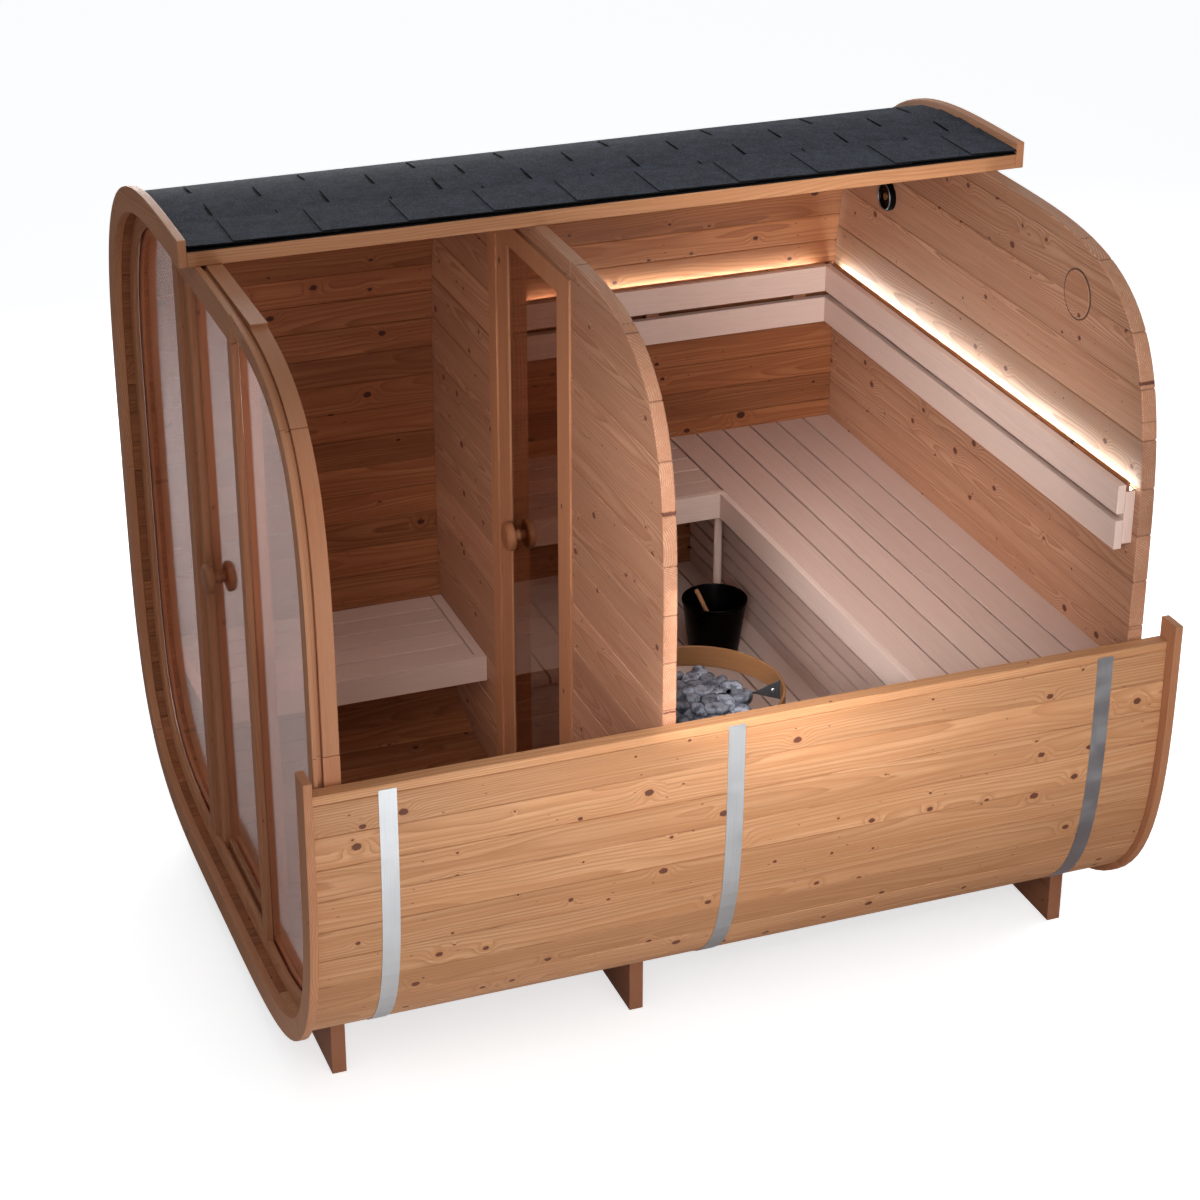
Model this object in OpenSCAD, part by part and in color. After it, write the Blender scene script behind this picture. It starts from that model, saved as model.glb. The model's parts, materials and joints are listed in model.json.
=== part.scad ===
// Cutaway cube sauna: a barrel-built cabin with a changing room and a hot room.
// Frame: +X is the near side that is cut open, -Y is the glazed front, +Z is up.
// The ground is z = 0 and the origin is under the middle of the cabin.

/* [Cabin] */
// Width over the end rings
cabin_w = 2200; // [1800:10:2600]
// Height of the end rings
cabin_h = 2166; // [1800:1:2500]
// Length over the end rings
cabin_l = 2586; // [2300:1:3200]
// Height of the rings above the ground
ground_gap = 84; // [60:1:140]
// Squareness of the rings above mid height: 2 is an ellipse, larger is squarer
ring_square_top = 3.8; // [3.2:0.1:5]
// Squareness of the rings below mid height
ring_square_low = 4.1; // [3.4:0.1:5]

/* [Shell] */
// Thickness of the wall boards
board_t = 44; // [28:1:58]
// Squareness of the wall boards' outline above mid height
shell_square_top = 4; // [3.6:0.1:5]
// Squareness of the wall boards' outline below mid height
shell_square_low = 4.6; // [3.8:0.1:5]
// Depth that the end rings stand proud of the boards
ring_proud = 36; // [20:1:50]
// Thickness of an end ring along the cabin
ring_t = 25; // [18:1:45]
// Height at which the near wall is cut
near_cut_z = 1081; // [900:1:1250]
// Height of the near ends of the rings above the cut wall
ring_stub_h = 62; // [30:1:90]
// Thickness of a layer of roof shingles
shingle_t = 6; // [3:1:10]
// Rows of shingles from the cut to the far eave
shingle_rows = 5; // [3:1:7]

/* [Bands] */
// Width of a steel band
band_w = 50; // [30:1:80]
// Thickness of a steel band
band_t = 2; // [1:0.5:4]
// Distance of the band ends below the cut wall
band_drop = 13; // [5:1:40]

/* [Cradles] */
// Thickness of a cradle plank
cradle_t = 43; // [35:1:70]
// Half length of a cradle
cradle_half = 776; // [650:1:850]

/* [Front] */
// Distance from the front ring face to the trim
front_recess = 49; // [30:1:120]
// Thickness of the front trim
trim_t = 13; // [10:1:25]
// Width of the front trim
trim_w = 50; // [45:1:80]
// Height of the top of the sill above the floor
sill_top = 63; // [55:1:90]
// Depth of the header over the front door
header_w = 86; // [76:1:110]
// Space between the trim and the rim, which holds the panes
pane_slot = 15; // [12:1:20]
// Thickness of the front rim
rim_t = 46; // [38:1:60]
// Width of the front rim
rim_w = 75; // [62:1:95]
// Thickness of the glass
glass_t = 8; // [6:1:10]
// Width of the front door opening
front_door_w = 544; // [450:1:600]
// Place of the right side of the front door opening
front_door_x = 338; // [250:1:420]

/* [Partition] */
// Place of the changing-room face of the partition
partition_y = -269; // [-400:1:-150]
// Depth of the lining of the partition doorway
lining_d = 65; // [50:1:90]
// Thickness of the partition and rear wall boards
wall_t = 40; // [28:1:50]
// Width of the partition door opening
inner_door_w = 445; // [380:1:540]
// Place of the right side of the partition door opening
inner_door_x = 205; // [120:1:260]
// Height of the top of the partition door opening
inner_door_top = 2045; // [1900:1:2080]

/* [Benches] */
// Height of the top of the upper bench
upper_z = 995; // [900:1:1060]
// Height of the top of the lower bench
lower_z = 531; // [450:1:600]
// Height of the top of the changing-room bench
changing_z = 555; // [450:1:600]
// Thickness of a bench slat
slat_t = 26; // [18:1:30]
// Width of a bench slat
slat_w = 90; // [70:1:110]
// Gap between bench slats
slat_gap = 7; // [5:1:12]
// Height of a bench fascia
fascia_h = 88; // [70:1:110]
// Thickness of a bench fascia
fascia_t = 22; // [16:1:28]

/* [Heater] */
// Radius of the heater body
heater_r = 165; // [130:1:180]
// Radius of the guard hoop
hoop_r = 269; // [250:1:285]
// Height of the top of the guard hoop
hoop_z = 850; // [780:1:880]

/* [Hidden] */

// Clearance where one board is fitted against another
fit = 0.3;

// Half sizes and middle height of the ring outline
half_w = cabin_w / 2;
half_h = cabin_h / 2;
mid_z = ground_gap + half_h;
top_z = ground_gap + cabin_h;
front_y = -cabin_l / 2;
rear_y = cabin_l / 2;

// Half sizes of the wall boards' outer outline
shell_w = half_w - ring_proud;
shell_h = half_h - ring_proud;

// Inset of what fits inside the boards
wall_in = board_t + fit;

// The outline is split into equal steps, two for each wall board
board_count = 76;
steps = 2 * board_count;

// Steps at which the shell is split into its parts
roof_end = 12;
eave_end = 28;
far_end = 48;
far_low_end = 64;
floor_end = steps - far_low_end;
near_low_end = steps - far_end;

// Inner faces of the floor and the ceiling at their middles
room_floor = mid_z - shell_h + wall_in;
room_top = mid_z + shell_h - wall_in;

// Places along the cabin
trim_y = front_y + front_recess;
slot_y = trim_y + trim_t;
rim_y = slot_y + pane_slot;
rim_back = rim_y + rim_t;
partition_back = partition_y + wall_t;
rear_setback = 129;
rear_wall_y = rear_y - rear_setback;
rear_wall_t = 46;

// An outline is [half width, half height, squareness at the top, squareness at the bottom]
ring_shape = [half_w, half_h, ring_square_top, ring_square_low];
shell_shape = [shell_w, shell_h, shell_square_top, shell_square_low];

// Outline point at an angle from the top, turning toward the far side
function square_at(o, a) = cos(a) > 0 ? o[2] : o[3];
function radius_at(o, a) = pow(
    pow(abs(sin(a)) / o[0], square_at(o, a)) + pow(abs(cos(a)) / o[1], square_at(o, a)),
    -1 / square_at(o, a));
function point_at(o, a) = [-radius_at(o, a) * sin(a), radius_at(o, a) * cos(a)];
function slope_part(v, half, q) = sign(v) * pow(abs(v) / half, q - 1) / half;
function outward(o, p) = let (
    q = p[1] > 0 ? o[2] : o[3],
    n = [slope_part(p[0], o[0], q), slope_part(p[1], o[1], q)]) n / norm(n);
function inset_point(o, a, inset) = let (p = point_at(o, a)) p - inset * outward(o, p) + [0, mid_z];

// Running length of the boards' outline, and the angle at each equal step
angle_step = 2;
angle_count = 360 / angle_step;
function chord(i) = norm(
    point_at(shell_shape, (i + 1) * angle_step) - point_at(shell_shape, i * angle_step));
function running(i, total) = i == angle_count ? [[total, 360]]
    : concat([[total, i * angle_step]], running(i + 1, total + chord(i)));
length_table = running(0, 0);
outline_length = length_table[angle_count][0];
function step_angle(i) = lookup(i * outline_length / steps, length_table);

// A strip of the boards' outline between two steps and two insets
function arc_points(from, to, inset) =
    [for (i = [from:to]) inset_point(shell_shape, step_angle(i), inset)];
function flipped(list) = [for (i = [len(list) - 1:-1:0]) list[i]];
module strip(from, to, outer, inner) {
    polygon(concat(arc_points(from, to, outer), flipped(arc_points(from, to, inner))));
}

// Half width of the room at a height, less a little to keep clear of the boards
reach_gap = 1;
reach_table = [for (a = [178:-angle_step:2])
    let (p = inset_point(shell_shape, a, wall_in)) [p[1], -p[0]]];
function side_reach(z) = lookup(z, reach_table) - reach_gap;

// The whole outline inside the boards, or of the rings
module face(inset) {
    polygon(arc_points(0, steps - 1, inset));
}

module ring_face() {
    polygon([for (i = [0:steps - 1]) inset_point(ring_shape, step_angle(i), 0)]);
}

// The upright box of a face, used to trim it
module window(x0, x1, z0, z1) {
    translate([x0, z0]) square([x1 - x0, z1 - z0]);
}

// Stands a flat XZ shape up between two places along the cabin
module along(y0, y1) {
    translate([0, y1, 0]) rotate([90, 0, 0]) linear_extrude(height = y1 - y0) children();
}

// A box from corner to corner
module block(low, high) {
    translate(low) cube(high - low);
}

// ---- Cradles ----

// The end cradles stand in from the ends and the middle one under the partition
front_cradle_in = 143;
rear_cradle_in = 151;
cradle_places = [front_y + front_cradle_in, partition_y + 24, rear_y - rear_cradle_in];

// Planks on edge whose tops follow the underside of the boards
module cradles() {
    color("sienna") for (y = cradle_places)
        along(y - cradle_t / 2, y + cradle_t / 2) difference() {
            window(-cradle_half, cradle_half, 0, mid_z / 2);
            face(-fit);
        }
}

// ---- Shell ----

boards_y0 = front_y + ring_t;
boards_y1 = rear_y - ring_t;

module shell(from, to) {
    along(boards_y0, boards_y1) strip(from, to, 0, board_t);
}

module floor_boards() { color("peru") shell(far_low_end, floor_end); }
module far_lower_boards() { color("peru") shell(far_end, far_low_end); }
module far_wall_boards() { color("peru") shell(eave_end, far_end); }
module far_eave_boards() { color("peru") shell(roof_end, eave_end); }
module roof_boards() { color("peru") shell(0, roof_end); }
module near_lower_boards() { color("peru") shell(floor_end, near_low_end); }

module near_wall_boards() {
    color("peru") along(boards_y0, boards_y1) intersection() {
        strip(near_low_end, steps - 1, 0, board_t);
        window(0, half_w, 0, near_cut_z);
    }
}

// Shingle rows, each of which starts a step under the thick end of the one above
shingle_gap = 1;
shingle_y0 = boards_y0 + shingle_gap;
shingle_y1 = boards_y1 - shingle_gap;
shingle_steps = eave_end - 6;
row_steps = shingle_steps / shingle_rows;

module shingle_row(row) {
    from = round(row * row_steps);
    to = round((row + 1) * row_steps);
    count = to - from;
    start = row == 0 ? 0 : -1;
    top = [for (i = [start:count])
        inset_point(shell_shape, step_angle(from + i), -shingle_t - shingle_t * i / count)];
    low = [for (i = [start:count]) inset_point(shell_shape, step_angle(from + i), 0)];
    polygon(concat(top, flipped(low)));
}

module roof_shingles() {
    color("darkslategray") along(shingle_y0, shingle_y1)
        for (row = [0:shingle_rows - 1]) shingle_row(row);
}

// Steel bands lie on the boards and run up under the shingles
band_front_y = front_y + 234;
band_middle_y = partition_y + 200;
band_rear_y = rear_y - 225;

module band(y) {
    along(y - band_w / 2, y + band_w / 2) intersection() {
        strip(shingle_steps, steps - 1, -band_t, 0);
        union() {
            window(-half_w, 0, 0, top_z);
            window(-1, half_w, 0, near_cut_z - band_drop);
        }
    }
}

module steel_bands() {
    color("silver") for (y = [band_front_y, band_middle_y, band_rear_y]) band(y);
}

// ---- End rings ----

module ring(y0) {
    along(y0, y0 + ring_t) intersection() {
        difference() {
            ring_face();
            face(board_t);
        }
        union() {
            window(-half_w, 0, 0, top_z);
            window(-1, half_w, 0, near_cut_z + ring_stub_h);
        }
    }
}

module front_ring() { color("burlywood") ring(front_y); }
module rear_ring() { color("burlywood") ring(rear_y - ring_t); }

// ---- Front wall ----

// Insets of the front wall parts from the outside of the boards
rim_in = wall_in + rim_w;
bead_out = wall_in + 14;
pane_out = wall_in + 36;
bead_in = pane_out - fit;

// Flat board on top of the rim, which ends in a small step
top_board_x = 485;

// Straight edges of the trim at the sill and the header
sill_z = room_floor + sill_top;
header_z = room_top - header_w;

// Door opening between the posts
door_left = front_door_x - front_door_w;
post_w = 60;
jamb_w = 44;
right_post_w = 44;
jamb_setback = 15;
post_left_x = door_left - jamb_w - post_w;
pane_grip = 10;
door_pane_y = rim_y + 10;
header_proud = 4;
header_y = trim_y - header_proud;

// The pin that carries a glass door, and its seat in the wood
pin_r = 4;
pin_fit = 0.3;
pin_depth = 20;
door_gap = 7;
pivot_in = 14;
front_pivot_x = front_door_x - door_gap - pivot_in;
front_door_top = header_z - door_gap;
front_door_low = mid_z - shell_h + rim_in + door_gap;
front_pin_low = front_door_low - pin_depth;
front_pin_high = mid_z + shell_h - rim_in - door_gap + pin_depth;

module rim_shape() {
    difference() {
        union() {
            face(wall_in);
            window(fit, top_board_x, mid_z, room_top);
        }
        face(rim_in);
    }
}

module front_rim() {
    color("burlywood") difference() {
        along(rim_y, rim_back) rim_shape();
        translate([front_pivot_x, door_pane_y, front_pin_low])
            cylinder(r = pin_r + pin_fit, h = front_pin_high - front_pin_low, $fn = 24);
    }
}

// The opening inside the trim, straight along the sill
module trim_opening() {
    intersection() {
        face(wall_in + trim_w);
        window(-half_w, half_w, sill_z, top_z);
    }
}

module front_trim() {
    color("burlywood") {
        along(trim_y, slot_y) difference() {
            face(wall_in);
            trim_opening();
            window(header_x0 - fit, header_x1 + fit, header_z - 1, top_z);
        }
        along(slot_y, rim_y) difference() {
            face(bead_out);
            face(bead_in);
        }
    }
}

header_x0 = post_left_x;
header_x1 = front_door_x + right_post_w;

module door_header() {
    color("burlywood") along(header_y, slot_y) intersection() {
        face(wall_in);
        window(header_x0, header_x1, header_z, top_z);
    }
}

// The front part of a post stands between the sill and the header, and its back part in the rim
module post_part(x0, x1, y0, y1, inset) {
    along(y0, y1) intersection() {
        face(inset + fit);
        window(x0, x1, 0, top_z);
    }
}

module post(x0, x1, y0) {
    along(y0, slot_y) window(x0, x1, sill_z + fit, header_z - fit);
    post_part(x0, x1, slot_y, rim_y, bead_in);
    post_part(x0, x1, rim_y, rim_back, rim_in);
}

// The slot that takes the edge of a fixed pane
module pane_slot_cut(x0, x1) {
    block([x0, pane_y0 - fit, 0], [x1, pane_y1 + fit, top_z]);
}

pane_y0 = slot_y + (pane_slot - glass_t) / 2;
pane_y1 = pane_y0 + glass_t;

module door_post_left() {
    color("burlywood") difference() {
        post(post_left_x, post_left_x + post_w, header_y);
        pane_slot_cut(post_left_x - 1, post_left_x + pane_grip);
    }
}

module door_jamb() {
    color("sandybrown")
        post(door_left - jamb_w + fit, door_left, trim_y + jamb_setback);
}

module door_post_right() {
    right_x = front_door_x + right_post_w;
    color("burlywood") difference() {
        post(front_door_x, right_x, header_y);
        pane_slot_cut(right_x - pane_grip, right_x + 1);
    }
}

module pane(x0, x1) {
    along(pane_y0, pane_y1) intersection() {
        face(pane_out);
        window(x0, x1, 0, top_z);
    }
}

module left_pane() { color("rosybrown", 0.6) pane(-half_w, post_left_x + pane_grip - fit); }
module right_pane() {
    color("rosybrown", 0.6) pane(front_door_x + right_post_w - pane_grip + fit, half_w);
}

// A glass leaf with its pins and the hole for the knob spindle
knob_r = 46;
knob_t = 27;
knob_reach = 23;
spindle_r = 18;
knob_bevel = 6;

module glass_door(x0, x1, y, z0, z1, pin_low, pin_high, pivot_x, knob_x, knob_z) {
    difference() {
        block([x0, y - glass_t / 2, z0], [x1, y + glass_t / 2, z1]);
        translate([knob_x, y, knob_z]) rotate([90, 0, 0])
            cylinder(r = spindle_r + fit, h = 2 * glass_t, center = true, $fn = 32);
        for (z = [z0 - 1, z1 - pin_seat])
            translate([pivot_x, y, z]) cylinder(r = pin_r, h = pin_seat + 1, $fn = 24);
    }
    for (span = [[pin_low + pin_fit, z0 + pin_seat], [z1 - pin_seat, pin_high - pin_fit]])
        translate([pivot_x, y, span[0]]) cylinder(r = pin_r, h = span[1] - span[0], $fn = 24);
}

pin_seat = 30;
front_knob_x = door_left + 76;
front_knob_z = 1166;

module front_door() {
    color("rosybrown", 0.6) glass_door(
        door_left + door_gap, front_door_x - door_gap, door_pane_y,
        front_door_low, front_door_top, front_pin_low, front_pin_high,
        front_pivot_x, front_knob_x, front_knob_z);
}

// Two turned wooden knobs on one spindle
module knobs(x, y, z) {
    translate([x, y, z]) rotate([90, 0, 0]) {
        cylinder(r = spindle_r, h = 2 * knob_reach, center = true, $fn = 32);
        for (side = [0, 1]) mirror([0, 0, side]) translate([0, 0, knob_reach])
            rotate_extrude($fn = 48) polygon([
                [0, 0], [knob_r - knob_bevel, 0], [knob_r, knob_bevel],
                [knob_r - knob_bevel / 2, knob_t - knob_bevel], [knob_r - 2 * knob_bevel, knob_t],
                [0, knob_t]]);
    }
}

module front_knobs() { color("tan") knobs(front_knob_x, door_pane_y, front_knob_z); }

// ---- Partition ----

inner_door_left = inner_door_x - inner_door_w;
casing_w = 66;
jamb_left_w = 97;
jamb_right_w = 100;
header_h = 66;
casing_proud = 6;
sill_h = 38;
frame_left = inner_door_left - jamb_left_w - casing_w;
frame_right = inner_door_x + jamb_right_w;
frame_top = inner_door_top + header_h;
inner_pane_y = partition_y + 8;
inner_gap = 6;
inner_pivot_x = inner_door_x - inner_gap - pivot_in;
inner_door_low = room_floor + sill_h + inner_gap;
inner_door_high = inner_door_top - inner_gap;
inner_pin_low = inner_door_low - pin_depth;
inner_pin_high = inner_door_high + pin_depth;
inner_knob_x = inner_door_left + 58;
inner_knob_z = 1127;
lining_w = 26;

module partition_part(x0, x1, z0) {
    along(partition_y, partition_back) intersection() {
        face(wall_in);
        window(x0, x1, z0, top_z);
    }
}

module partition_left() { color("peru") partition_part(-half_w, frame_left - fit, 0); }
module partition_right() { color("peru") partition_part(frame_right + fit, half_w, 0); }
module partition_head() {
    color("peru") partition_part(frame_left + fit, frame_right - fit, frame_top + fit);
}

module partition_frame() {
    color("burlywood") difference() {
        union() {
            along(partition_y - casing_proud, partition_back) intersection() {
                face(wall_in);
                union() {
                    window(frame_left, frame_left + casing_w, 0, frame_top);
                    window(inner_door_x, frame_right, 0, frame_top);
                    window(frame_left, frame_right, inner_door_top, frame_top);
                }
            }
            along(partition_y, partition_back) intersection() {
                face(wall_in);
                union() {
                    window(frame_left + casing_w - 1, inner_door_left, 0, frame_top - 1);
                    window(inner_door_left - 1, inner_door_x + 1, 0, room_floor + sill_h);
                }
            }
            along(partition_back - 1, partition_y + lining_d) intersection() {
                face(wall_in);
                difference() {
                    window(inner_door_left - lining_w, inner_door_x + lining_w, 0,
                        inner_door_top + lining_w);
                    window(inner_door_left, inner_door_x, room_floor + sill_h, inner_door_top);
                }
            }
        }
        translate([inner_pivot_x, inner_pane_y, inner_pin_low])
            cylinder(r = pin_r + pin_fit, h = inner_pin_high - inner_pin_low, $fn = 24);
    }
}

module partition_door() {
    color("rosybrown", 0.6) glass_door(
        inner_door_left + inner_gap, inner_door_x - inner_gap, inner_pane_y,
        inner_door_low, inner_door_high, inner_pin_low, inner_pin_high,
        inner_pivot_x, inner_knob_x, inner_knob_z);
}

module partition_knobs() { color("tan") knobs(inner_knob_x, inner_pane_y, inner_knob_z); }

// ---- Changing-room bench ----

// Slats run along the cabin from the front rim to the partition
changing_front_x = -505;
changing_y0 = rim_back + fit;
changing_y1 = partition_y - fit;
border_w = 34;

// A row of slats, laid side by side along X or Y from a fixed edge
module slats_along_y(x_start, count, y0, y1, z, width) {
    for (i = [0:count - 1])
        block([x_start + i * (width + slat_gap), y0, z - slat_t],
              [x_start + i * (width + slat_gap) + width, y1, z]);
}

module slats_along_x(y_start, count, x0, x1, z, width) {
    for (i = [0:count - 1])
        block([x0, y_start - i * (width + slat_gap) - width, z - slat_t],
              [x1, y_start - i * (width + slat_gap), z]);
}

// Width of each slat when a count of them fills a depth
function fill_width(depth, count) = (depth - (count - 1) * slat_gap) / count;

changing_count = 5;
changing_x0 = -side_reach(changing_z - slat_t);
changing_slat = fill_width(changing_front_x - fascia_t - fit - changing_x0, changing_count);

module changing_bench() {
    color("mistyrose") {
        slats_along_y(changing_x0, changing_count, changing_y0,
            changing_y1 - border_w - slat_gap / 2, changing_z, changing_slat);
        block([changing_x0, changing_y1 - border_w, changing_z - slat_t],
              [changing_front_x - fascia_t - fit, changing_y1, changing_z]);
    }
}

module changing_fascia() {
    color("mistyrose") block([changing_front_x - fascia_t, changing_y0, changing_z - fascia_h],
                             [changing_front_x, changing_y1, changing_z]);
}

// Bearers under a bench: rails at both ends and one in the middle
bearer_t = 40;
bearer_h = fascia_h - slat_t;

module bearer_x(x0, x1, y, z) {
    block([x0, y - bearer_t / 2, z - slat_t - bearer_h], [x1, y + bearer_t / 2, z - slat_t]);
}

module bearer_y(x, y0, y1, z) {
    block([x - bearer_t / 2, y0, z - slat_t - bearer_h], [x + bearer_t / 2, y1, z - slat_t]);
}

changing_bearer_x0 = -side_reach(changing_z - fascia_h);

module changing_bearers() {
    for (y = [changing_y0 + bearer_t / 2, (changing_y0 + changing_y1) / 2, changing_y1 - bearer_t / 2])
        bearer_x(changing_bearer_x0, changing_front_x - fascia_t - fit, y, changing_z);
}

// ---- Hot room: rear wall and upper bench ----

module rear_wall() {
    color("peru") along(rear_wall_y, rear_wall_y + rear_wall_t) face(wall_in);
}

room_y0 = partition_back + fit;
room_y1 = rear_wall_y - fit;
upper_front_y = 549;
upper_side_x = -525;
upper_x1 = side_reach(upper_z - slat_t);
upper_x0 = -upper_x1;
upper_count = 6;
upper_side_count = 5;
upper_slat = fill_width(room_y1 - upper_front_y - fascia_t - fit, upper_count);
upper_side_slat = fill_width(upper_side_x - fascia_t - fit - upper_x0, upper_side_count);

module upper_bench_rear() {
    color("mistyrose") slats_along_x(room_y1, upper_count, upper_x0, upper_x1, upper_z, upper_slat);
}

module upper_bench_side() {
    color("mistyrose") slats_along_y(upper_x0, upper_side_count, room_y0,
        upper_front_y + fascia_t - slat_gap, upper_z, upper_side_slat);
}

// Two boards mitred at the corner of the bench
module upper_fascia() {
    color("mistyrose") {
        block([upper_side_x + fit, upper_front_y, upper_z - fascia_h],
              [side_reach(upper_z - fascia_h), upper_front_y + fascia_t, upper_z]);
        block([upper_side_x - fascia_t, room_y0, upper_z - fascia_h],
              [upper_side_x, upper_front_y + fascia_t, upper_z]);
    }
}

// Bearers: rails on the rear wall, far wall and partition, and one behind each fascia
upper_low_x0 = -side_reach(upper_z - fascia_h);
upper_beam_y = upper_front_y + fascia_t + fit + bearer_t / 2;
leg_r = 14;
leg_x = upper_side_x - fascia_t - fit - bearer_t / 2;
leg_y = upper_front_y + 13;

module upper_bearers() {
    union() {
        bearer_x(upper_low_x0, -upper_low_x0, room_y1 - bearer_t / 2, upper_z);
        bearer_x(upper_low_x0, -upper_low_x0, upper_beam_y, upper_z);
        bearer_x(upper_low_x0, upper_side_x - fascia_t - fit, room_y0 + bearer_t / 2, upper_z);
        bearer_y(upper_low_x0 + bearer_t / 2, room_y0 + bearer_t + fit,
            upper_beam_y - bearer_t / 2 - fit, upper_z);
        bearer_y(leg_x, room_y0 + bearer_t + fit, upper_beam_y - bearer_t / 2 - fit, upper_z);
        for (x = [upper_low_x0 + bearer_t / 2, 0, -upper_low_x0 - bearer_t / 2])
            bearer_y(x, upper_beam_y + bearer_t / 2 + fit, room_y1 - bearer_t - fit, upper_z);
    }
}

// Slatted skirt between the lower and the upper bench
skirt_y = upper_front_y + 90;
skirt_t = 18;
skirt_count = 7;
skirt_gap = 11;
skirt_top = upper_z - fascia_h - fit;
skirt_pitch = (skirt_top - lower_z - fit + skirt_gap) / skirt_count;
skirt_reach = side_reach(lower_z);
skirt_post_t = 30;

module bench_skirt() {
    color("tan") {
        for (i = [0:skirt_count - 1])
            block([-skirt_reach, skirt_y, lower_z + fit + i * skirt_pitch],
                  [skirt_reach, skirt_y + skirt_t, lower_z + fit + (i + 1) * skirt_pitch - skirt_gap]);
        for (x = [-skirt_reach, 0, skirt_reach - skirt_post_t])
            block([x, skirt_y + skirt_t + fit, lower_z + fit],
                  [x + skirt_post_t, skirt_y + skirt_t + skirt_post_t, skirt_top]);
    }
}

module bench_leg() {
    color("mistyrose") translate([leg_x, leg_y, lower_z + fit])
        cylinder(r = leg_r, h = upper_z - slat_t - bearer_h - lower_z - 2 * fit, $fn = 32);
}

// ---- Hot room: lower bench ----

lower_front_y = 280;
lower_side_x = -339;
lower_x0 = -side_reach(lower_z - slat_t);
lower_x1 = side_reach(lower_z - slat_t);
lower_rear_count = 9;
lower_side_count = 4;
lower_slat = fill_width(room_y1 - lower_front_y, lower_rear_count);

module lower_bench_rear() {
    color("mistyrose") slats_along_x(room_y1, lower_rear_count, lower_x0, lower_x1, lower_z, lower_slat);
}

module lower_bench_side() {
    color("mistyrose") slats_along_x(lower_front_y - slat_gap, lower_side_count,
        lower_x0, lower_side_x, lower_z, fill_width(lower_front_y - slat_gap - room_y0, lower_side_count));
}

// Bearers under the lower bench, at the far wall, the middle and the near wall
lower_bearer_x = side_reach(lower_z - fascia_h) - bearer_t / 2;

module lower_bearers() {
    bearer_y(-lower_bearer_x, room_y0, room_y1, lower_z);
    for (x = [-lower_bearer_x / 2, 0, lower_bearer_x])
        bearer_y(x, lower_front_y + front_setback + fascia_t + fit, room_y1, lower_z);
}

module bench_bearers() {
    color("wheat") {
        changing_bearers();
        upper_bearers();
        lower_bearers();
    }
}

// Closed fronts of the lower bench, three boards high, down to the curved floor
front_setback = 12;
lower_board_gap = 5;
lower_front_top = lower_z - slat_t - fit;
lower_board_h = (lower_front_top - room_floor - 2 * lower_board_gap) / 3;
lower_corner_x = lower_side_x - front_setback;
lower_corner_y = lower_front_y + front_setback;

module lower_boards(x0, x1, y0, y1) {
    for (i = [0:2])
        block([x0, y0, room_floor + i * (lower_board_h + lower_board_gap)],
              [x1, y1, room_floor + i * (lower_board_h + lower_board_gap) + lower_board_h]);
}

module lower_bench_fronts() {
    color("tan") intersection() {
        union() {
            lower_boards(lower_corner_x + fit, half_w, lower_corner_y, lower_corner_y + fascia_t);
            lower_boards(lower_corner_x - fascia_t, lower_corner_x, room_y0,
                lower_corner_y + fascia_t);
        }
        along(front_y, rear_y) face(wall_in);
    }
}

// ---- Backrests and lights ----

back_slat_h = 88;
back_gap = 21;
back_slat_t = 25;
back_top = 1562;
back_low = back_top - 2 * back_slat_h - back_gap;
back_off = 56;
cleat_drop = 22;
cleat_rise = 14;
cleat_t = back_off - back_slat_t;
cleat_w = 45;
back_x1 = 990;

// Two slats on upright cleats
module backrest_far() {
    x0 = -side_reach(back_top);
    x1 = -side_reach(mid_z) + back_off;
    color("mistyrose") {
        for (z = [back_low, back_low + back_slat_h + back_gap])
            block([x1 - back_slat_t, room_y0, z], [x1, room_y1 - back_off, z + back_slat_h]);
        for (y = [room_y0 + 60, (room_y0 + room_y1) / 2, room_y1 - back_off - cleat_w - 60])
            block([x0, y, back_low + cleat_rise], [x1 - back_slat_t - fit, y + cleat_w, back_top - cleat_drop]);
    }
}

module backrest_rear() {
    x0 = -side_reach(back_top) + back_off / 2;
    color("mistyrose") {
        for (z = [back_low, back_low + back_slat_h + back_gap])
            block([x0, room_y1 - back_off, z], [back_x1, room_y1 - back_off + back_slat_t, z + back_slat_h]);
        for (x = [x0 + 100, 0, back_x1 - cleat_w])
            block([x, room_y1 - back_off + back_slat_t + fit, back_low + cleat_rise],
                  [x + cleat_w, room_y1, back_top - cleat_drop]);
    }
}

// Light strips on the cleats, behind the top slats
strip_w = 20;
strip_h = 10;

module light_strips() {
    z = back_top - cleat_drop + fit;
    far_x = -side_reach(back_top);
    color("lemonchiffon") {
        block([far_x, room_y0, z], [far_x + strip_w, room_y1 - back_off, z + strip_h]);
        block([far_x + back_off, room_y1 - strip_w, z], [back_x1, room_y1, z + strip_h]);
    }
}

vent_x = 593;
vent_z = 1986;
vent_r = 75;
vent_t = 18;
lamp_x = -624;
lamp_z = 1907;
lamp_r = 47;
lamp_t = 34;

module vent_disc() {
    color("peru") translate([vent_x, room_y1, vent_z]) rotate([90, 0, 0])
        rotate_extrude($fn = 64) polygon([
            [0, 0], [vent_r, 0], [vent_r, vent_t - 5], [vent_r - 5, vent_t], [0, vent_t]]);
}

module wall_lamp() {
    color("dimgray") translate([lamp_x, room_y1, lamp_z]) rotate([90, 0, 0])
        rotate_extrude($fn = 48) polygon([
            [0, 0], [lamp_r, 0], [lamp_r, lamp_t - 8], [lamp_r - 8, lamp_t],
            [lamp_r - 16, lamp_t - 6], [12, lamp_t - 10], [0, lamp_t - 4]]);
}

// ---- Heater ----

heater_x = 440;
heater_y = 65;
heater_top = 740;
heater_wall = 6;
stone_top = 815;
hoop_h = 68;
hoop_t = 8;

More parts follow.
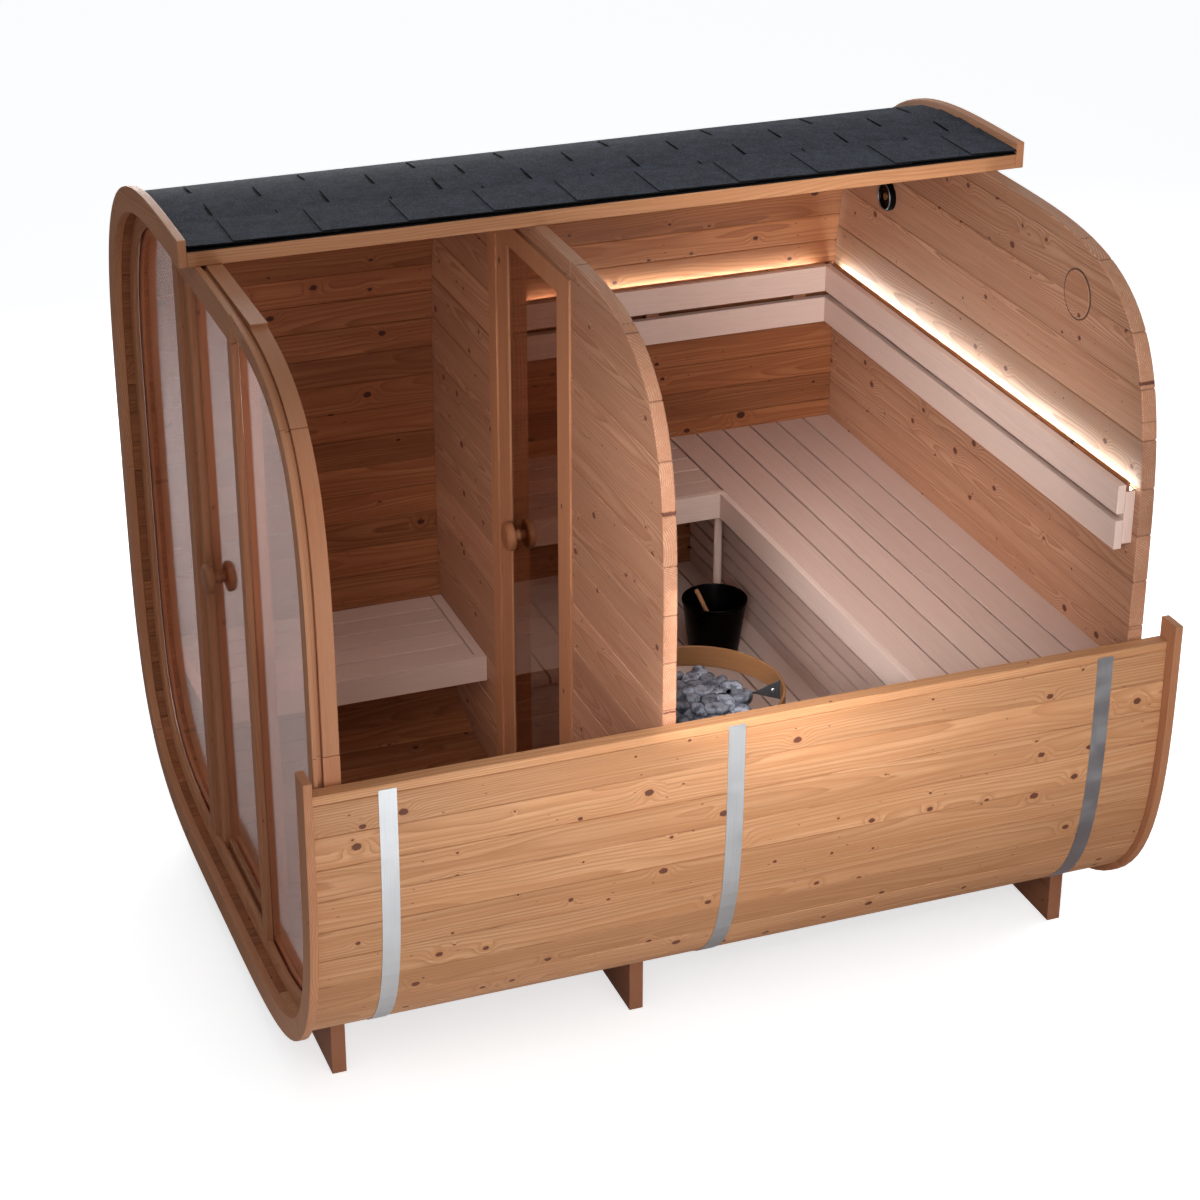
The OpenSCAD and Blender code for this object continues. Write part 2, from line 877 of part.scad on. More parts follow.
// A round tub with a rim that holds the stones, on four short feet
module heater() {
    color("dimgray") translate([heater_x, heater_y, room_floor + fit]) {
        rotate_extrude($fn = 64) polygon([
            [0, 30], [heater_r, 30], [heater_r, heater_top - room_floor],
            [heater_r - heater_wall, heater_top - room_floor],
            [heater_r - heater_wall, heater_top - room_floor - 120], [0, heater_top - room_floor - 120]]);
    }
    color("dimgray") intersection() {
        translate([heater_x, heater_y, room_floor]) for (a = [45:90:315]) rotate(a)
            translate([heater_r - 30, 0, 0]) cylinder(r = 14, h = 31, $fn = 24);
        along(front_y, rear_y) face(wall_in + fit);
    }
}

// The heap of stones, level at the rim and domed above it
module heater_stones() {
    r = heater_r - heater_wall - fit;
    color("slategray") translate([heater_x, heater_y, heater_top - 120 + 2 * fit])
        rotate_extrude($fn = 64) polygon([
            [0, 0], [r, 0], [r, 125], [r - 25, 150], [r * 0.6, stone_top - heater_top + 108],
            [0, stone_top - heater_top + 120]]);
}

module guard_hoop() {
    color("goldenrod") translate([heater_x, heater_y, hoop_z - hoop_h]) difference() {
        cylinder(r = hoop_r, h = hoop_h, $fn = 96);
        translate([0, 0, -1]) cylinder(r = hoop_r - hoop_t, h = hoop_h + 2, $fn = 96);
    }
}

// Triangular plates that stand out from the heater and carry the hoop
bracket_t = 3;
bracket_h = 53;

module guard_brackets() {
    reach = hoop_r - hoop_t - fit;
    post_r = heater_r + fit;
    color("darkslategray") translate([heater_x, heater_y, 0])
        for (a = [80, 200, 320]) rotate(a)
            rotate([90, 0, 0]) linear_extrude(height = bracket_t, center = true)
                polygon([
                    [post_r, heater_top - 30], [post_r + 10, heater_top - 30],
                    [post_r + 10, hoop_z - 55], [reach, hoop_z - 2 - bracket_h],
                    [reach, hoop_z - 2], [post_r, hoop_z - 25]]);
}

// ---- Bucket and ladle ----

bucket_x = -333;
bucket_y = 454;
bucket_h = 190;
bucket_r_top = 107;
bucket_r_low = 80;
bucket_t = 4;

module bucket() {
    color("black") translate([bucket_x, bucket_y, lower_z + fit])
        rotate_extrude($fn = 64) polygon([
            [0, 0], [bucket_r_low, 0], [bucket_r_top, bucket_h], [bucket_r_top - bucket_t, bucket_h],
            [bucket_r_low - bucket_t, bucket_t], [0, bucket_t]]);
}

// A round bowl on the floor of the bucket and a stick leaning from its lip to the rim
ladle_r = 7.5;
ladle_tilt = 26;
ladle_turn = 237;
ladle_l = 170;
bowl_at = [-27, 31, 0];
bowl_r = 30;
stick_at = [-35.7, 29.1, 31.9];

module ladle() {
    color("burlywood") translate([bucket_x, bucket_y, lower_z + 2 * fit + bucket_t]) {
        translate(bowl_at) cylinder(r = bowl_r, h = 28, $fn = 40);
        translate(stick_at) rotate([0, ladle_tilt, ladle_turn])
            cylinder(r = ladle_r, h = ladle_l, $fn = 24);
    }
}

cradles();
floor_boards();
far_lower_boards();
far_wall_boards();
far_eave_boards();
roof_boards();
near_lower_boards();
near_wall_boards();
roof_shingles();
steel_bands();
front_ring();
rear_ring();
front_rim();
front_trim();
door_header();
door_post_left();
door_jamb();
door_post_right();
left_pane();
right_pane();
front_door();
front_knobs();
partition_left();
partition_right();
partition_head();
partition_frame();
partition_door();
partition_knobs();
changing_bench();
changing_fascia();
bench_bearers();
rear_wall();
upper_bench_rear();
upper_bench_side();
upper_fascia();
bench_skirt();
bench_leg();
lower_bench_rear();
lower_bench_side();
lower_bench_fronts();
backrest_far();
backrest_rear();
light_strips();
vent_disc();
wall_lamp();
heater();
heater_stones();
guard_hoop();
guard_brackets();
bucket();
ladle();
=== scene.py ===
import json
import math
import random
import bpy
import bmesh
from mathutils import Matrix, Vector, noise


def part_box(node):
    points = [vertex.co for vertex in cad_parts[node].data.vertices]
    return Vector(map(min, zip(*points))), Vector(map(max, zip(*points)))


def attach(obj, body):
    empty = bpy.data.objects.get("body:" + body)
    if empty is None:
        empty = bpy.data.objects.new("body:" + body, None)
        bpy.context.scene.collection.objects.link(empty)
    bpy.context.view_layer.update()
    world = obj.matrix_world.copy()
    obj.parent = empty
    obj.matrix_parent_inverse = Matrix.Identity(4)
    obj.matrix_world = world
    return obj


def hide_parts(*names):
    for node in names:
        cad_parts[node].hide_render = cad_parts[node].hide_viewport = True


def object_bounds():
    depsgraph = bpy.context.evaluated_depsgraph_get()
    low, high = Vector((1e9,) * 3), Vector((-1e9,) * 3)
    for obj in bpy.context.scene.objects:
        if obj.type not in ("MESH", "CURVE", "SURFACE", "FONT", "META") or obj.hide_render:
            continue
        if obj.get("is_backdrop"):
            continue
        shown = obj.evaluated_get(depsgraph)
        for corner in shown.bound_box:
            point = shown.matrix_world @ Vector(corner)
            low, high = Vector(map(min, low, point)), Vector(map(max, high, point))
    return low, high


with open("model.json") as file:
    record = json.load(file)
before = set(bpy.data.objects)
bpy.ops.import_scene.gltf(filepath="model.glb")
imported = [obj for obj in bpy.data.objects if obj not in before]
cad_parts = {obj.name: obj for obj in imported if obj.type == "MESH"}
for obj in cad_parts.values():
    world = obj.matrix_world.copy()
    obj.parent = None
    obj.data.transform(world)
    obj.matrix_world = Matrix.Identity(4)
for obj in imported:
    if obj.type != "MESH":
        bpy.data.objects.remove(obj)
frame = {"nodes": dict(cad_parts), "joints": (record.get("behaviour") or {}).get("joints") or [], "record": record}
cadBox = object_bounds()
slotOf = {part["node"]: part["material_slot"] for part in frame["record"]["subparts"]}
print("frame loaded")


# node helpers

def plug(tree, value, socket):
    if isinstance(value, bpy.types.NodeSocket):
        tree.links.new(value, socket)
    else:
        socket.default_value = value


def setSockets(tree, node, sockets):
    for name, value in sockets.items():
        plug(tree, value, node.inputs[name])


def add(tree, kind, sockets=None, **settings):
    node = tree.nodes.new("ShaderNode" + kind)
    for name, value in settings.items():
        setattr(node, name, value)
    setSockets(tree, node, sockets or {})
    return node


def calc(tree, operation, *values):
    node = add(tree, "Math", operation=operation)
    for socket, value in zip(node.inputs, values):
        plug(tree, value, socket)
    return node.outputs[0]


def times(tree, first, second):
    return calc(tree, "MULTIPLY", first, second)


def timesPlus(tree, first, second, third):
    return calc(tree, "MULTIPLY_ADD", first, second, third)


def vec(tree, operation, *values):
    node = add(tree, "VectorMath", operation=operation)
    for socket, value in zip(node.inputs, values):
        plug(tree, value, socket)
    return node.outputs["Value" if operation == "LENGTH" else "Vector"]


def tint(tree, amount, under, over, mode="MIX"):
    node = add(tree, "Mix", data_type="RGBA", blend_type=mode)
    plug(tree, amount, node.inputs[0])
    plug(tree, under, node.inputs[6])
    plug(tree, over, node.inputs[7])
    return node.outputs[2]


def cloud(tree, place, stretch, detail=2.0, rough=0.5, out="Fac"):
    spot = vec(tree, "MULTIPLY", place, stretch)
    sockets = {"Vector": spot, "Scale": 1.0, "Detail": detail, "Roughness": rough}
    return add(tree, "TexNoise", sockets).outputs[out]


def remap(tree, value, low, high, toLow=0.0, toHigh=1.0, smooth=True):
    sockets = {"Value": value, "From Min": low, "From Max": high, "To Min": toLow, "To Max": toHigh}
    kind = "SMOOTHSTEP" if smooth else "LINEAR"
    return add(tree, "MapRange", sockets, interpolation_type=kind).outputs["Result"]


def perPart(tree, name):
    return add(tree, "Attribute", attribute_name=name).outputs["Vector"]


def rgb(colour):
    return (*colour, 1.0)


def freshMaterial(name):
    mat = bpy.data.materials.new(name)
    mat.use_nodes = True
    return mat, mat.node_tree, mat.node_tree.nodes["Principled BSDF"]


def bumpFrom(tree, shader, height, depth, strength=1.0):
    bump = add(tree, "Bump", {"Height": height, "Distance": depth, "Strength": strength})
    tree.links.new(bump.outputs["Normal"], shader.inputs["Normal"])


# wood: growth rings round a pith beside each board, knots, streaks and fibres

plainWood = {"knot": (0.115, 0.036, 0.022), "ring": 0.0045, "contrast": 0.5, "knots": 0.0, "knotSize": 0.004,
             "knotPitch": 8.0, "variation": 0.12, "streak": 0.4, "pith": 0.2, "drift": 0.03, "roughness": 0.5}
woods = {
    "roofPine": {
        "early": (0.54, 0.27, 0.135), "late": (0.33, 0.14, 0.06), "warm": (0.44, 0.195, 0.085),
        "ring": 0.0055, "contrast": 0.8, "knots": 0.08, "knotSize": 0.008, "knotPitch": 7.0, "variation": 0.2,
        "streak": 0.85, "pith": 0.16, "drift": 0.07, "roughness": 0.52},
    "shellPine": {
        "early": (0.63, 0.345, 0.18), "late": (0.37, 0.165, 0.07), "warm": (0.5, 0.235, 0.105),
        "ring": 0.0062, "contrast": 0.8, "knots": 0.6, "knotSize": 0.0105, "knotPitch": 8.5,
        "variation": 0.28, "streak": 0.85, "pith": 0.16, "drift": 0.07, "roughness": 0.52},
    # a darker copy of shellPine for the inner faces of the staves, the floor and the light-rail lips: painted
    # shade of the cabin's inside
    "shadedInnerPine": {
        "early": (0.41, 0.16, 0.066), "late": (0.19, 0.058, 0.021), "warm": (0.29, 0.096, 0.036),
        "knot": (0.045, 0.012, 0.008), "ring": 0.0066, "contrast": 0.85, "knots": 0.65, "knotSize": 0.0125,
        "variation": 0.34, "streak": 0.9, "drift": 0.08, "roughness": 0.55},
    "roomPine": {
        "early": (0.54, 0.3, 0.188), "late": (0.29, 0.128, 0.07), "warm": (0.4, 0.182, 0.102),
        "knot": (0.1, 0.032, 0.022), "ring": 0.0062, "contrast": 1.0, "knots": 0.65, "knotSize": 0.0105,
        "knotPitch": 8.5, "variation": 0.26, "streak": 0.8, "pith": 0.14, "drift": 0.09},
    "framePine": {
        "early": (0.56, 0.265, 0.135), "late": (0.33, 0.135, 0.062), "warm": (0.44, 0.18, 0.088),
        "knot": (0.08, 0.03, 0.02), "ring": 0.004, "contrast": 0.75, "knots": 0.22, "knotSize": 0.009,
        "knotPitch": 7.0, "variation": 0.16, "streak": 0.55},
    # a darker, redder copy of framePine for the front posts, jamb and rim: painted shade on the front faces
    "shadedDoorPine": {
        "early": (0.47, 0.215, 0.11), "late": (0.32, 0.125, 0.055), "warm": (0.42, 0.15, 0.07),
        "knot": (0.06, 0.02, 0.014), "ring": 0.004, "knots": 0.4, "knotSize": 0.008},
    # a darkened pine for the cradles, and for the cleats behind the far backrest: painted shade under the cabin
    # and in the backrest gap
    "shadedCradlePine": {
        "early": (0.34, 0.142, 0.074), "late": (0.2, 0.076, 0.037), "warm": (0.27, 0.102, 0.051),
        "knot": (0.05, 0.02, 0.014), "ring": 0.005, "contrast": 0.55, "knots": 0.2, "knotSize": 0.01,
        "knotPitch": 6.0, "variation": 0.1, "roughness": 0.6},
    "benchWood": {
        "early": (0.71, 0.535, 0.46), "late": (0.61, 0.43, 0.36), "warm": (0.65, 0.46, 0.385),
        "knot": (0.3, 0.18, 0.12), "contrast": 0.35, "knotPitch": 4.0, "variation": 0.09, "streak": 0.3,
        "drift": 0.05},
    # a darker copy of benchWood for the upper bench tops and skirt: painted shade
    "shadedSeatWood": {
        "early": (0.6, 0.425, 0.36), "late": (0.5, 0.33, 0.27), "warm": (0.54, 0.355, 0.295),
        "knot": (0.3, 0.18, 0.12), "contrast": 0.35, "knotPitch": 4.0, "variation": 0.09, "streak": 0.3,
        "drift": 0.05},
    "knobWood": {
        "early": (0.35, 0.14, 0.062), "late": (0.18, 0.064, 0.027), "warm": (0.27, 0.096, 0.04),
        "knot": (0.1, 0.04, 0.03), "ring": 0.0035, "knotPitch": 5.0, "variation": 0.2, "pith": 0.05,
        "drift": 0.02, "roughness": 0.42},
    "hoopWood": {
        "early": (0.35, 0.165, 0.07), "late": (0.24, 0.098, 0.038), "warm": (0.29, 0.122, 0.05),
        "knot": (0.1, 0.04, 0.03), "ring": 0.003, "contrast": 0.45, "knotPitch": 5.0, "variation": 0.05,
        "streak": 0.35, "pith": 0.3, "drift": 0.01, "roughness": 0.4},
}


def cells(tree, place, stretch, pitch):
    spot = vec(tree, "MULTIPLY", place, (stretch, 1.0, 1.0))
    return add(tree, "TexVoronoi", {"Vector": spot, "Scale": pitch}, voronoi_dimensions="2D")


def makeWood(name, look):
    mat, tree, shader = freshMaterial(name)
    grain = perPart(tree, "grain")
    board = perPart(tree, "board")
    place = vec(tree, "MULTIPLY_ADD", board, (31.0, 17.0, 23.0), grain)
    at = add(tree, "SeparateXYZ", {"Vector": grain})
    own = add(tree, "SeparateXYZ", {"Vector": board})
    drift = add(tree, "SeparateXYZ", {"Vector": cloud(tree, place, (0.9, 2.5, 2.5), 1.5, out="Color")})
    shifts = (own.outputs["X"], drift.outputs["X"], drift.outputs["Y"])
    half = [calc(tree, "SUBTRACT", shift, 0.5) for shift in shifts]
    across = timesPlus(tree, half[0], look["pith"], at.outputs["Y"])
    across = timesPlus(tree, half[1], look["drift"], across)
    depth = timesPlus(tree, own.outputs["Y"], 0.08, calc(tree, "ADD", at.outputs["Z"], 0.03))
    depth = timesPlus(tree, half[2], look["drift"], depth)
    radius = vec(tree, "LENGTH", add(tree, "CombineXYZ", {"X": across, "Y": depth}).outputs[0])
    # knots sit in their own cells, only some of which hold one
    cell = cells(tree, place, 0.75, look["knotPitch"])
    pick = add(tree, "SeparateColor", {"Color": cell.outputs["Color"]})
    held = calc(tree, "LESS_THAN", pick.outputs["Red"], look["knots"])
    share = timesPlus(tree, calc(tree, "POWER", pick.outputs["Green"], 2.0), 0.85, 0.3)
    size = times(tree, share, look["knotSize"])
    away = calc(tree, "DIVIDE", cell.outputs["Distance"], look["knotPitch"])
    rough = cloud(tree, place, (160.0, 160.0, 160.0), 1.0)
    ragged = timesPlus(tree, rough, 0.005, calc(tree, "SUBTRACT", away, 0.0025))
    spread = calc(tree, "DIVIDE", away, times(tree, size, 2.4))
    fade = calc(tree, "EXPONENT", times(tree, times(tree, spread, spread), -1.0))
    swirl = times(tree, held, fade)
    heart = times(tree, held, remap(tree, ragged, times(tree, size, 0.75), size, 1.0, 0.0))
    pinPitch = look["knotPitch"] * 2.3
    pin = cells(tree, place, 0.45, pinPitch)
    some = add(tree, "SeparateColor", {"Color": pin.outputs["Color"]})
    few = calc(tree, "LESS_THAN", some.outputs["Red"], look["knots"] * 0.45)
    near = remap(tree, calc(tree, "DIVIDE", pin.outputs["Distance"], pinPitch), 0.0009, 0.0027, 1.0, 0.0)
    strength = remap(tree, some.outputs["Green"], 0.0, 1.0, 0.35, 0.9, False)
    pins = times(tree, times(tree, few, near), strength)
    bent = timesPlus(tree, times(tree, swirl, size), 1.5, radius)
    wander = cloud(tree, place, (3.0, 25.0, 25.0), 2.0)
    turns = timesPlus(tree, wander, 0.9, calc(tree, "DIVIDE", bent, look["ring"]))
    ring = calc(tree, "FRACT", turns)
    ramp = add(tree, "ValToRGB", {"Fac": ring})
    stops = ramp.color_ramp.elements
    stops[0].color = (0, 0, 0, 1)
    stops[1].position, stops[1].color = 1.0, (0.1, 0.1, 0.1, 1)
    for spot, level in ((0.4, 0.12), (0.8, 0.75), (0.93, 1.0)):
        stop = stops.new(spot)
        stop.color = (level, level, level, 1)
    late = ramp.outputs["Color"]
    streak = remap(tree, cloud(tree, place, (1.4, 38.0, 38.0), 3.0, 0.6), 0.35, 0.72)
    thread = remap(tree, cloud(tree, place, (3.5, 150.0, 150.0), 3.0, 0.65), 0.42, 0.7)
    broad = remap(tree, cloud(tree, place, (0.8, 7.0, 7.0), 2.0), 0.3, 0.75)
    fibre = cloud(tree, place, (14.0, 420.0, 420.0), 2.0, 0.6)
    colour = tint(tree, times(tree, late, look["contrast"]), rgb(look["early"]), rgb(look["late"]))
    colour = tint(tree, times(tree, streak, look["streak"]), colour, rgb(look["warm"]))
    colour = tint(tree, times(tree, broad, look["streak"] * 0.6), colour, rgb(look["late"]))
    colour = tint(tree, times(tree, thread, look["streak"] * 0.5), colour, rgb(look["late"]))
    halo = times(tree, times(tree, held, remap(tree, spread, 0.3, 1.0, 0.85, 0.0)), 0.9)
    colour = tint(tree, halo, colour, rgb(look["warm"]))
    tone = timesPlus(tree, own.outputs["Z"], look["variation"], 1.0 - look["variation"] / 2)
    tone = times(tree, tone, remap(tree, fibre, 0.2, 0.8, 0.93, 1.06, False))
    colour = tint(tree, 1.0, colour, tone, "MULTIPLY")
    colour = tint(tree, pins, colour, rgb(look["knot"]))
    colour = tint(tree, times(tree, heart, 0.95), colour, rgb(look["knot"]))
    sheen = remap(tree, fibre, 0.2, 0.8, look["roughness"] - 0.07, look["roughness"] + 0.12, False)
    setSockets(tree, shader, {"Base Color": colour, "Roughness": sheen, "Specular IOR Level": 0.22})
    height = timesPlus(tree, late, 0.35, times(tree, fibre, 0.8))
    bumpFrom(tree, shader, calc(tree, "SUBTRACT", height, heart), 0.0007, 0.6)
    return mat


wood = {name: makeWood(name, {**plainWood, **look}) for name, look in woods.items()}


# other finishes

def objectPlace(tree):
    return add(tree, "TexCoord").outputs["Object"]


def makeShingle(look):
    mat, tree, shader = freshMaterial("roofGranules")
    place = objectPlace(tree)
    grit = add(tree, "TexVoronoi", {"Vector": place, "Scale": look["grit"]})
    speck = add(tree, "SeparateColor", {"Color": grit.outputs["Color"]}).outputs["Red"]
    patch = remap(tree, cloud(tree, place, (20.0, 20.0, 20.0), 4.0, 0.65), 0.3, 0.7)
    sparkle = times(tree, calc(tree, "POWER", speck, 2.2), 0.75)
    level = timesPlus(tree, patch, 0.35, sparkle)
    colour = tint(tree, level, rgb(look["dark"]), rgb(look["light"]))
    setSockets(tree, shader, {"Base Color": colour, "Roughness": 0.9, "Specular IOR Level": 0.2})
    bumpFrom(tree, shader, speck, 0.0012, 0.7)
    return mat


def makeMetal(name, look):
    mat, tree, shader = freshMaterial(name)
    place = objectPlace(tree)
    brush = cloud(tree, place, look["brush"], 3.0, 0.6)
    smear = cloud(tree, place, (14.0, 14.0, 14.0), 3.0)
    colour = tint(tree, remap(tree, brush, 0.3, 0.7, 0.0, 0.5), rgb(look["colour"]), rgb(look["dull"]))
    rough = remap(tree, smear, 0.25, 0.75, look["roughness"] - 0.06, look["roughness"] + 0.1)
    setSockets(tree, shader, {"Base Color": colour, "Roughness": rough, "Metallic": look["metallic"],
                              "Specular IOR Level": look["gloss"]})
    bumpFrom(tree, shader, brush, 0.0002, look["bump"])
    return mat


def makeStone(look):
    mat, tree, shader = freshMaterial("heaterStones")
    place = vec(tree, "MULTIPLY_ADD", perPart(tree, "board"), (7.0, 5.0, 3.0), objectPlace(tree))
    grit = cloud(tree, place, (520.0, 520.0, 520.0), 2.0)
    patch = cloud(tree, place, (34.0, 34.0, 34.0), 4.0, 0.6)
    own = add(tree, "SeparateXYZ", {"Vector": perPart(tree, "board")})
    colour = tint(tree, remap(tree, patch, 0.38, 0.62), rgb(look["dark"]), rgb(look["light"]))
    colour = tint(tree, remap(tree, grit, 0.58, 0.72, 0.0, 0.5), colour, rgb(look["fleck"]))
    colour = tint(tree, 1.0, colour, timesPlus(tree, own.outputs["Z"], 0.8, 0.6), "MULTIPLY")
    rough = remap(tree, patch, 0.3, 0.7, 0.62, 0.8)
    setSockets(tree, shader, {"Base Color": colour, "Roughness": rough})
    bumpFrom(tree, shader, timesPlus(tree, grit, 0.25, patch), 0.0035, 0.5)
    return mat


def makeGlass(name, look):
    mat, tree, shader = freshMaterial(name)
    smear = cloud(tree, objectPlace(tree), (3.0, 3.0, 1.2), 2.0)
    colour = tint(tree, remap(tree, smear, 0.3, 0.7), rgb(look["colour"]), rgb(look["deep"]))
    setSockets(tree, shader, {"Base Color": colour, "Transmission Weight": 1.0, "IOR": 1.5,
                              "Roughness": look["roughness"]})
    return mat


def makeGlow(look):
    mat, tree, shader = freshMaterial("warmLight")
    dots = remap(tree, cloud(tree, objectPlace(tree), (60.0, 60.0, 60.0), 0.0), 0.3, 0.7, 0.9, 1.0)
    colour = tint(tree, 1.0, rgb(look["colour"]), dots, "MULTIPLY")
    setSockets(tree, shader, {"Base Color": colour, "Emission Color": rgb(look["colour"]),
                              "Emission Strength": look["strength"], "Roughness": 0.4})
    return mat


plainMetal = {"brush": (300.0, 300.0, 300.0), "roughness": 0.35, "metallic": 1.0, "gloss": 0.5, "bump": 0.2}
metals = {
    # the shingles' cut edges and the felt; also the strips under the slots, as painted shade
    "bitumenAndSlotShade": {
        "colour": (0.0025, 0.0025, 0.003), "dull": (0.006, 0.006, 0.007), "roughness": 0.8, "metallic": 0.0,
        "gloss": 0.1, "bump": 0.4},
    "lampRing": {
        "colour": (0.16, 0.16, 0.17), "dull": (0.11, 0.11, 0.12), "brush": (400.0, 400.0, 400.0),
        "roughness": 0.4, "metallic": 0.8},
    "lampBrass": {"colour": (0.42, 0.27, 0.09), "dull": (0.28, 0.17, 0.06)},
    "bandSteel": {
        "colour": (0.49, 0.5, 0.51), "dull": (0.38, 0.39, 0.41), "brush": (6.0, 900.0, 6.0),
        "roughness": 0.36, "bump": 0.25},
    "screwSteel": {"colour": (0.6, 0.6, 0.6), "dull": (0.4, 0.4, 0.4)},
    "blackLacquer": {
        "colour": (0.0008, 0.0005, 0.0004), "dull": (0.002, 0.0012, 0.001), "brush": (40.0, 40.0, 260.0),
        "roughness": 0.3, "metallic": 0.0, "gloss": 0.04, "bump": 0.1},
    # also used for the ring round the vent disc, as painted shade
    "glassEdgeAndGapShade": {
        "colour": (0.1, 0.055, 0.04), "dull": (0.07, 0.04, 0.03), "brush": (200.0, 200.0, 200.0),
        "roughness": 0.6, "metallic": 0.0, "gloss": 0.1, "bump": 0.1},
    "heaterPaint": {
        "colour": (0.035, 0.035, 0.04), "dull": (0.055, 0.055, 0.06), "brush": (700.0, 700.0, 700.0),
        "roughness": 0.5, "metallic": 0.3, "gloss": 0.4, "bump": 0.3},
    "bracketSteel": {
        "colour": (0.085, 0.08, 0.085), "dull": (0.05, 0.05, 0.055), "brush": (200.0, 200.0, 30.0),
        "roughness": 0.45, "metallic": 0.6},
}
glasses = {
    "frontGlass": {"colour": (0.95, 0.73, 0.655), "deep": (0.86, 0.65, 0.58), "roughness": 0.03},
    "innerGlass": {"colour": (0.56, 0.40, 0.33), "deep": (0.50, 0.34, 0.28), "roughness": 0.02},
}
shingleLook = {"dark": (0.003, 0.004, 0.006), "light": (0.066, 0.076, 0.106), "grit": 300.0}
stoneLook = {"dark": (0.06, 0.066, 0.085), "light": (0.31, 0.325, 0.39), "fleck": (0.48, 0.50, 0.56)}
glowLook = {"colour": (0.80, 1.08, 1.14), "strength": 50.0}
finish = {name: makeMetal(name, {**plainMetal, **look}) for name, look in metals.items()}
finish.update({name: makeGlass(name, look) for name, look in glasses.items()})
finish["shingle"] = makeShingle(shingleLook)
finish["stone"] = makeStone(stoneLook)
finish["glow"] = makeGlow(glowLook)
print("finishes made")


# boards: a CAD node is sawn at its joints, its edges are eased, and each board gets its own grain

def sawn(node, slabs):
    whole = bmesh.new()
    whole.from_mesh(frame["nodes"][node].data)
    bmesh.ops.remove_doubles(whole, verts=whole.verts, dist=0.00002)
    bmesh.ops.dissolve_limit(whole, angle_limit=0.003, verts=whole.verts, edges=whole.edges)
    if not slabs:
        return [whole]
    pieces = []
    for slab in slabs:
        piece = whole.copy()
        for point, normal in slab:
            parts = piece.verts[:] + piece.edges[:] + piece.faces[:]
            bmesh.ops.bisect_plane(piece, geom=parts, dist=0.000001, plane_co=point, plane_no=normal,
                                   clear_outer=True)
            bmesh.ops.holes_fill(piece, edges=[e for e in piece.edges if e.is_boundary])
        if piece.faces:
            pieces.append(piece)
        else:
            piece.free()
    whole.free()
    return pieces


def easeEdges(piece, bevel, segments):
    bmesh.ops.recalc_face_normals(piece, faces=piece.faces)
    edges = [e for e in piece.edges if len(e.link_faces) == 2 and e.calc_face_angle(0) > 0.5]
    if bevel and edges:
        bmesh.ops.bevel(piece, geom=edges, offset=bevel, offset_type="OFFSET", segments=segments,
                        profile=0.55, affect="EDGES", clamp_overlap=True)


def looseParts(piece):
    left = set(piece.verts)
    while left:
        part, edge = [], [left.pop()]
        while edge:
            vert = edge.pop()
            part.append(vert)
            for link in vert.link_edges:
                other = link.other_vert(vert)
                if other in left:
                    left.remove(other)
                    edge.append(other)
        yield part


def arcPlace(spot, count):
    turn = math.atan2(-spot.x, spot.z - shellOutline["middle"])
    reach = math.hypot(spot.x, spot.z - shellOutline["middle"])
    return turn * 1.05, reach - outlineReach(turn), spot.y + 0.37 * count


def boardAxes(points, along):
    low = Vector([min(p[k] for p in points) for k in range(3)])
    high = Vector([max(p[k] for p in points) for k in range(3)])
    middle = (low + high) / 2
    if along == "chord":
        mean = sum(points, Vector()) / len(points)
        xx = sum((p.x - mean.x) ** 2 for p in points)
        zz = sum((p.z - mean.z) ** 2 for p in points)
        xz = sum((p.x - mean.x) * (p.z - mean.z) for p in points)
        turn = 0.5 * math.atan2(2 * xz, xx - zz)
        first = Vector((math.cos(turn), 0, math.sin(turn)))
        return mean, (first, Vector((-first.z, 0, first.x)), Vector((0, 1, 0)))
    order = sorted(range(3), key=lambda k: low[k] - high[k])
    if along is not None:
        order.remove(along)
        order.insert(0, along)
    return middle, tuple(Vector([float(k == axis) for k in range(3)]) for axis in order)


def stack(pile, piece, along=None, rng=None, own=None, tall=9.0):
    marked = set()
    for count, part in enumerate(looseParts(piece)):
        middle, axes = boardAxes([v.co for v in part], None if along == "arc" else along)
        look = own or (rng.random(), rng.random(), rng.random())
        heights = [v.co.z for v in part]
        for vert in part:
            vert.index = len(pile["verts"])
            pile["verts"].append(vert.co[:])
            level = [(vert.co - middle).dot(axis) for axis in axes]
            pile["grain"].extend(arcPlace(vert.co, count) if along == "arc" else level)
            pile["board"].extend(look)
        if max(heights) - min(heights) > tall:
            marked.update(v.index for v in part)
    for face in piece.faces:
        pile["faces"].append([v.index for v in face.verts])
        pile["second"].append(int(face.verts[0].index in marked))


def newPile():
    return {"verts": [], "faces": [], "grain": [], "board": [], "second": []}


def finishPiece(name, pile, material, body, nodes=(), slot=None, sharp=12.0, second=None):
    mesh = bpy.data.meshes.new(name)
    mesh.from_pydata(pile["verts"], [], pile["faces"])
    for key in ("grain", "board"):
        if pile[key]:
            mesh.attributes.new(key, "FLOAT_VECTOR", "POINT").data.foreach_set("vector", pile[key])
    mesh.polygons.foreach_set("use_smooth", [True] * len(mesh.polygons))
    mesh.set_sharp_from_angle(angle=math.radians(sharp))
    mesh.materials.append(material)
    if second:
        mesh.materials.append(second)
        for polygon in mesh.polygons:
            polygon.material_index = pile["second"][polygon.index]
    obj = bpy.data.objects.new(name, mesh)
    bpy.context.collection.objects.link(obj)
    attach(obj, body)
    if nodes:
        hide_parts(*nodes)
    slot or slotOf[nodes[0]]
    return obj


